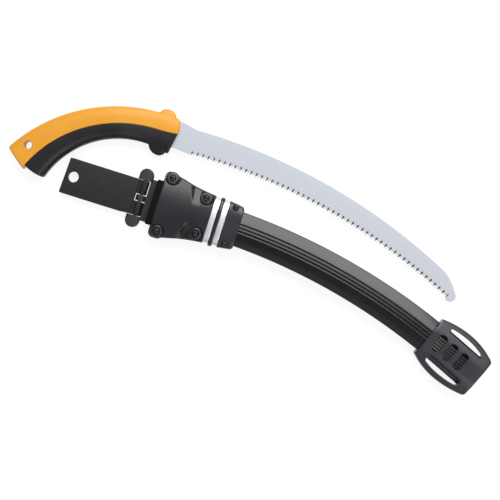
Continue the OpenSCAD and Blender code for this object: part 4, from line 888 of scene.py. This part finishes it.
def half_sheath(face):
    """Half of the sheath: a tray's section carried along the arc, with a narrow step down before the strap
    end. Inside that it has even ribs and its edges are drawn in. A small bevel lets the halves' seam show."""
    w = np.concatenate([spread(SHEATH_HW, PANEL_HW, 40)[:-1], np.linspace(PANEL_HW, -PANEL_HW, 105),
                        spread(-PANEL_HW, -SHEATH_HW, 40)[1:]])
    outer = np.stack([w, sheath_height(w)], -1)
    seam, hair, tail_in, fade, lap = 0.25, 0.02, 9.6, 3.5, 2
    foot = np.array([[-SHEATH_HW, seam], [seam - SHEATH_HW, 0], [-SLOT_HW, 0], [-SLOT_HW, SLOT_HH],
                     [SLOT_HW, SLOT_HH], [SLOT_HW, 0], [SHEATH_HW - seam, 0], [SHEATH_HW, seam]])
    section = np.vstack([outer, foot])
    mouth_s = -np.radians(SHEATH_A) * SHEATH_R
    s = np.concatenate([
        np.linspace(mouth_s + SHEATH_START, -MOUTH_GAP, 126), [hair - MOUTH_GAP, -hair],
        np.linspace(0, TAIL_START, 5), np.linspace(TAIL_START + 0.1, TAIL_END, 24)])
    across = np.broadcast_to(section[:, 0], (len(s), len(section)))
    drawn = np.sign(across) * TAIL_NARROW * smooth((abs(across) - tail_in) / fade)
    across = np.where(s[:, None] > TAIL_START, across - drawn, across)
    plan = in_sheath(np.broadcast_to(s[:, None], across.shape), across + SHEATH_SHIFT)
    gap = MOUTH_GAP_D * ((s > -MOUTH_GAP) & (s < 0))[:, None] * (section[:, 1] > SLOT_HH)
    ribs = np.where(abs(w) < WINDOW_HW + lap, tail_height(w) - outer[:, 1], 0)
    ribs = np.concatenate([ribs, np.zeros(len(foot))])
    height = section[:, 1] - gap + ribs * (s[:, None] > TAIL_START)
    return tube(np.dstack([plan, face * height]))


def end_half_w(s, side):
    """Half-width of one side of the strap end: widest at its belly, falling as a square each way."""
    wide, belly = END_HW[side], END_BELLY[side]
    near = wide - (wide - END_MOUTH_HW[side]) * ((belly - s) / belly) ** 2
    far = wide - (wide - END_TIP_HW[side]) * ((s - belly) / (END_LEN - belly)) ** 2
    return np.where(s < belly, near, far)


def strap_lines(s, side):
    """Lines along one side of the strap end: the lips of its slot, which part as a quarter circle and close
    again at its ends, the outer edge with its round far corner, and how far the slot is open."""
    wide = end_half_w(s, side)
    edge, slot_out = wide - fillet(END_LEN - s, END_CORNER), wide - STRAP_BAR[side]
    slot_mid = (slot_out + STRAP_IN) / 2
    to_end = np.minimum(s - STRAP_START, STRAP_END - s)
    opened = np.sqrt(1 - (1 - np.clip(to_end / STRAP_ROUND, 0, 1)) ** 2)
    lip_out = np.minimum(slot_mid + opened * (slot_out - slot_mid), edge - BAR_LEAST)
    lip_in = np.minimum(slot_mid - opened * (slot_mid - STRAP_IN), lip_out)
    return lip_in, lip_out, edge, opened


def window_depth(s, w, edge=0.4):
    """How far the windows are open: full inside each round-cornered rectangle, nothing outside it."""
    open_ = np.zeros(np.broadcast(s, w).shape)
    for at in WINDOW_S:
        ds, dw = abs(s - at) - WINDOW_HL + WINDOW_R, abs(w - WINDOW_W) - WINDOW_HW + WINDOW_R
        corner = np.hypot(np.maximum(ds, 0), np.maximum(dw, 0))
        outside = corner + np.minimum(np.maximum(ds, dw), 0) - WINDOW_R
        open_ = np.maximum(open_, 1 - smooth((outside + edge) / (2 * edge)))
    return open_


def strap_end():
    """Cap on the sheath's tail: a grid with a pair of lines at each strap slot, which part to open it. Its
    height is a raised middle with windows, sloped shoulders and thinner outer bars. A slope leads to a deep
    ledge along the lower slot, and a narrow trench runs along the upper one."""
    s = np.unique(np.concatenate([
        spread(0, END_LEN, 60), np.linspace(2, END_LEN - 2, 170),
        STRAP_START + STRAP_ROUND * np.linspace(0, 1, 9) ** 2,
        STRAP_END - STRAP_ROUND * np.linspace(0, 1, 9) ** 2]))[:, None]
    up_in, up_out, up_edge, opened = strap_lines(s, 0)
    low_in, low_out, low_edge, _ = strap_lines(s, 1)
    ease = spread(0, 1, 16)[None, :]
    up_bar, low_bar = up_out + (up_edge - up_out) * ease, low_out + (low_edge - low_out) * ease
    core = np.linspace(-1, 1, 121)[None, :]
    lip = np.where(core > 0, up_in, low_in)
    crowd = 0.25
    core = lip * np.sign(core) * ((1 + crowd) * abs(core) - crowd * abs(core) ** 5)
    w = np.hstack([-low_bar[:, ::-1], core, up_bar])
    s = np.broadcast_to(s, w.shape)
    edge = np.where(w > 0, up_edge, low_edge)
    from_slot = np.hstack([(low_bar - low_out)[:, ::-1], lip - abs(core), up_bar - up_out])
    inner = np.hstack([0 * low_bar, 0 * core + 1, 0 * up_bar])
    lap, fade, slope, slope_w, slope_run, ledge_w, wall = 0.5, 3, 2.6, 12.8, 2.8, 2.6, 0.35
    trench = ((0.25, 0.25), (1.2, 0.3))
    rim_r, low_r, slot_r, mouth, window = 2.4, 1.6, 1.0, 0.9, 5.6
    back = ((2, 28, 9), (7, 19, 7))
    along_slot = inner * smooth((s - STRAP_START + lap) / fade) * smooth((STRAP_END + lap - s) / fade)
    top = END_H - END_FALL * np.clip((abs(w) - END_FLAT) / (END_HW[0] - END_FLAT), 0, 1) ** END_POWER
    top = top - slope * smooth((-w - slope_w) / slope_run) * along_slot
    ledge = 1 - smooth((from_slot - ledge_w) / wall)
    near, far = [smooth((from_slot - start) / run) for start, run in trench]
    top = top + along_slot * np.where(w < 0, ledge, near * (1 - far)) * (LEDGE_Z - top)
    rim = np.minimum(np.minimum(edge - abs(w), END_LEN - s), s + mouth)
    top = top - fillet(rim, rim_r) - opened * fillet(from_slot, slot_r) - window * window_depth(s, w)
    steps = [depth * smooth((start - abs(w)) / run) for depth, start, run in back]
    low = -WING_H - sum(steps) + fillet(rim, low_r)
    keep = np.ones((w.shape[0] - 1, w.shape[1] - 1), bool)
    shut = ((opened[1:] == 0) & (opened[:-1] == 0))[:, 0]
    keep[:, low_bar.shape[1] - 1] = keep[:, low_bar.shape[1] + core.shape[1] - 1] = shut
    return slab(in_strap_end(s, w), top, low, keep)


def scabbard_body():
    """The bands, the spacer, the collar with its screws, the sheath and the strap end."""
    for name, i in (("band_ring_mouth_skin", 0), ("band_ring_tip_skin", 2)):
        ring = band(BAND_X[i], BAND_X[i + 1], BAND_HW, BAND_HH, r=0.5)
        piece(name, [ring], [band_metal])
    spacer = band(BAND_X[1], BAND_X[2], SPACER_HW, SPACER_HH, r=1.2)
    piece("spacer_ring_skin", [spacer], [throat_nylon])
    front = piece("collar_front_skin", [half_collar(1, power=4.0)], [end_nylon])
    back = piece("collar_back_skin", [half_collar(-1, power=14.0)], [end_nylon])
    for pocket, room in zip(both_sides(collar_cut()), both_sides(nut_room())):
        drill(front, pocket, SCABBARD_AT)
        drill(back, room, SCABBARD_AT)
    screw = socket_screw(COLLAR_SCREW, COLLAR_SCREW_TOP, low=-10.2, r=2.9, shank=1.2)
    piece("collar_screws_skin", both_sides(screw), [screw_black])
    piece("sheath_front_skin", [half_sheath(1)], [sheath_gloss])
    piece("sheath_back_skin", [half_sheath(-1)], [sheath_gloss])
    piece("strap_end_skin", [strap_end()], [end_nylon])


# Inner pieces keep their own shapes and take a finish

KEPT = {"handle_core": core_nylon, "tang_rivets": pin_steel, "throat_inserts": insert_brass,
        "guide_roller_upper": roller_rubber, "guide_roller_lower": roller_rubber, "roller_axles": pin_steel,
        "bracket_screws": screw_black, "hinge_pin": pin_steel, "collar_nuts": pin_steel}


def kept_pieces():
    """Puts a finish on each piece that keeps its own shape."""
    for name, finish in KEPT.items():
        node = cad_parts[name].data
        node.materials.clear()
        node.materials.append(finish)


# Studio

VIEW_TURN = math.radians(17.5)
VIEW_AT = (-1.1, -18.85, 13.0)
VIEW_FIELD, VIEW_DISTANCE = 530.0, 1600.0
PAPER_GLOW, SURROUND = 0.85, 0.32


def softbox(name, zenith, azimuth, distance, width, height, radiance):
    """Area light aimed at the object, placed by degrees from straight up and from +Y towards +X."""
    light = bpy.data.lights.new(name, "AREA")
    light.shape, light.size, light.size_y = "RECTANGLE", width, height
    light.energy = radiance * math.pi * width * height
    lamp = placed(name, light)
    lamp.rotation_euler = (-math.radians(zenith), 0, -math.radians(azimuth))
    side = distance * math.sin(math.radians(zenith)) * heading(azimuth)
    lamp.location = (side[0], side[1], distance * math.cos(math.radians(zenith)))


def studio():
    """Backlit white paper, a large softbox on the spine's side, two small ones, and a soft surround."""
    paper = shader("backlit_white_paper", Base_Color=linear("#808080"), Roughness=0.9, Specular_IOR_Level=0.0,
                   Emission_Color=linear("#FFFFFF"), Emission_Strength=PAPER_GLOW)[0]
    mesh = bpy.data.meshes.new("floor")
    far = 6.0
    mesh.from_pydata([(-far, -far, 0), (far, -far, 0), (far, far, 0), (-far, far, 0)], [], [(0, 1, 2, 3)])
    mesh.materials.append(paper)
    floor = placed("floor", mesh)
    softbox("key", zenith=40, azimuth=2, distance=1.7, width=1.6, height=1.25, radiance=5.2)
    softbox("fill", zenith=34, azimuth=132, distance=1.6, width=0.5, height=0.4, radiance=8.0)
    softbox("low_strip", zenith=46, azimuth=188, distance=1.6, width=2.0, height=0.8, radiance=0.35)
    world = bpy.data.worlds.new("surround")
    bpy.context.scene.world = world
    world.use_nodes = True
    sky = world.node_tree.nodes["Background"].inputs
    sky["Color"].default_value, sky["Strength"].default_value = linear("#FFFFFF"), SURROUND
    bpy.context.scene.view_settings.view_transform = "Standard"


def camera():
    """Straight above, turned as the photograph is, far enough away for its flat perspective."""
    lens = bpy.data.cameras.new("camera")
    lens.sensor_width = 36.0
    lens.lens = lens.sensor_width * VIEW_DISTANCE / VIEW_FIELD
    lens.clip_end = 50.0
    eye = placed("camera", lens)
    eye.location = (np.array(VIEW_AT) + [0, 0, VIEW_DISTANCE]) * MM
    eye.rotation_euler = (0, 0, VIEW_TURN)
    bpy.context.scene.camera = eye


saw()
throat()
hinge()
scabbard_body()
kept_pieces()
studio()
camera()
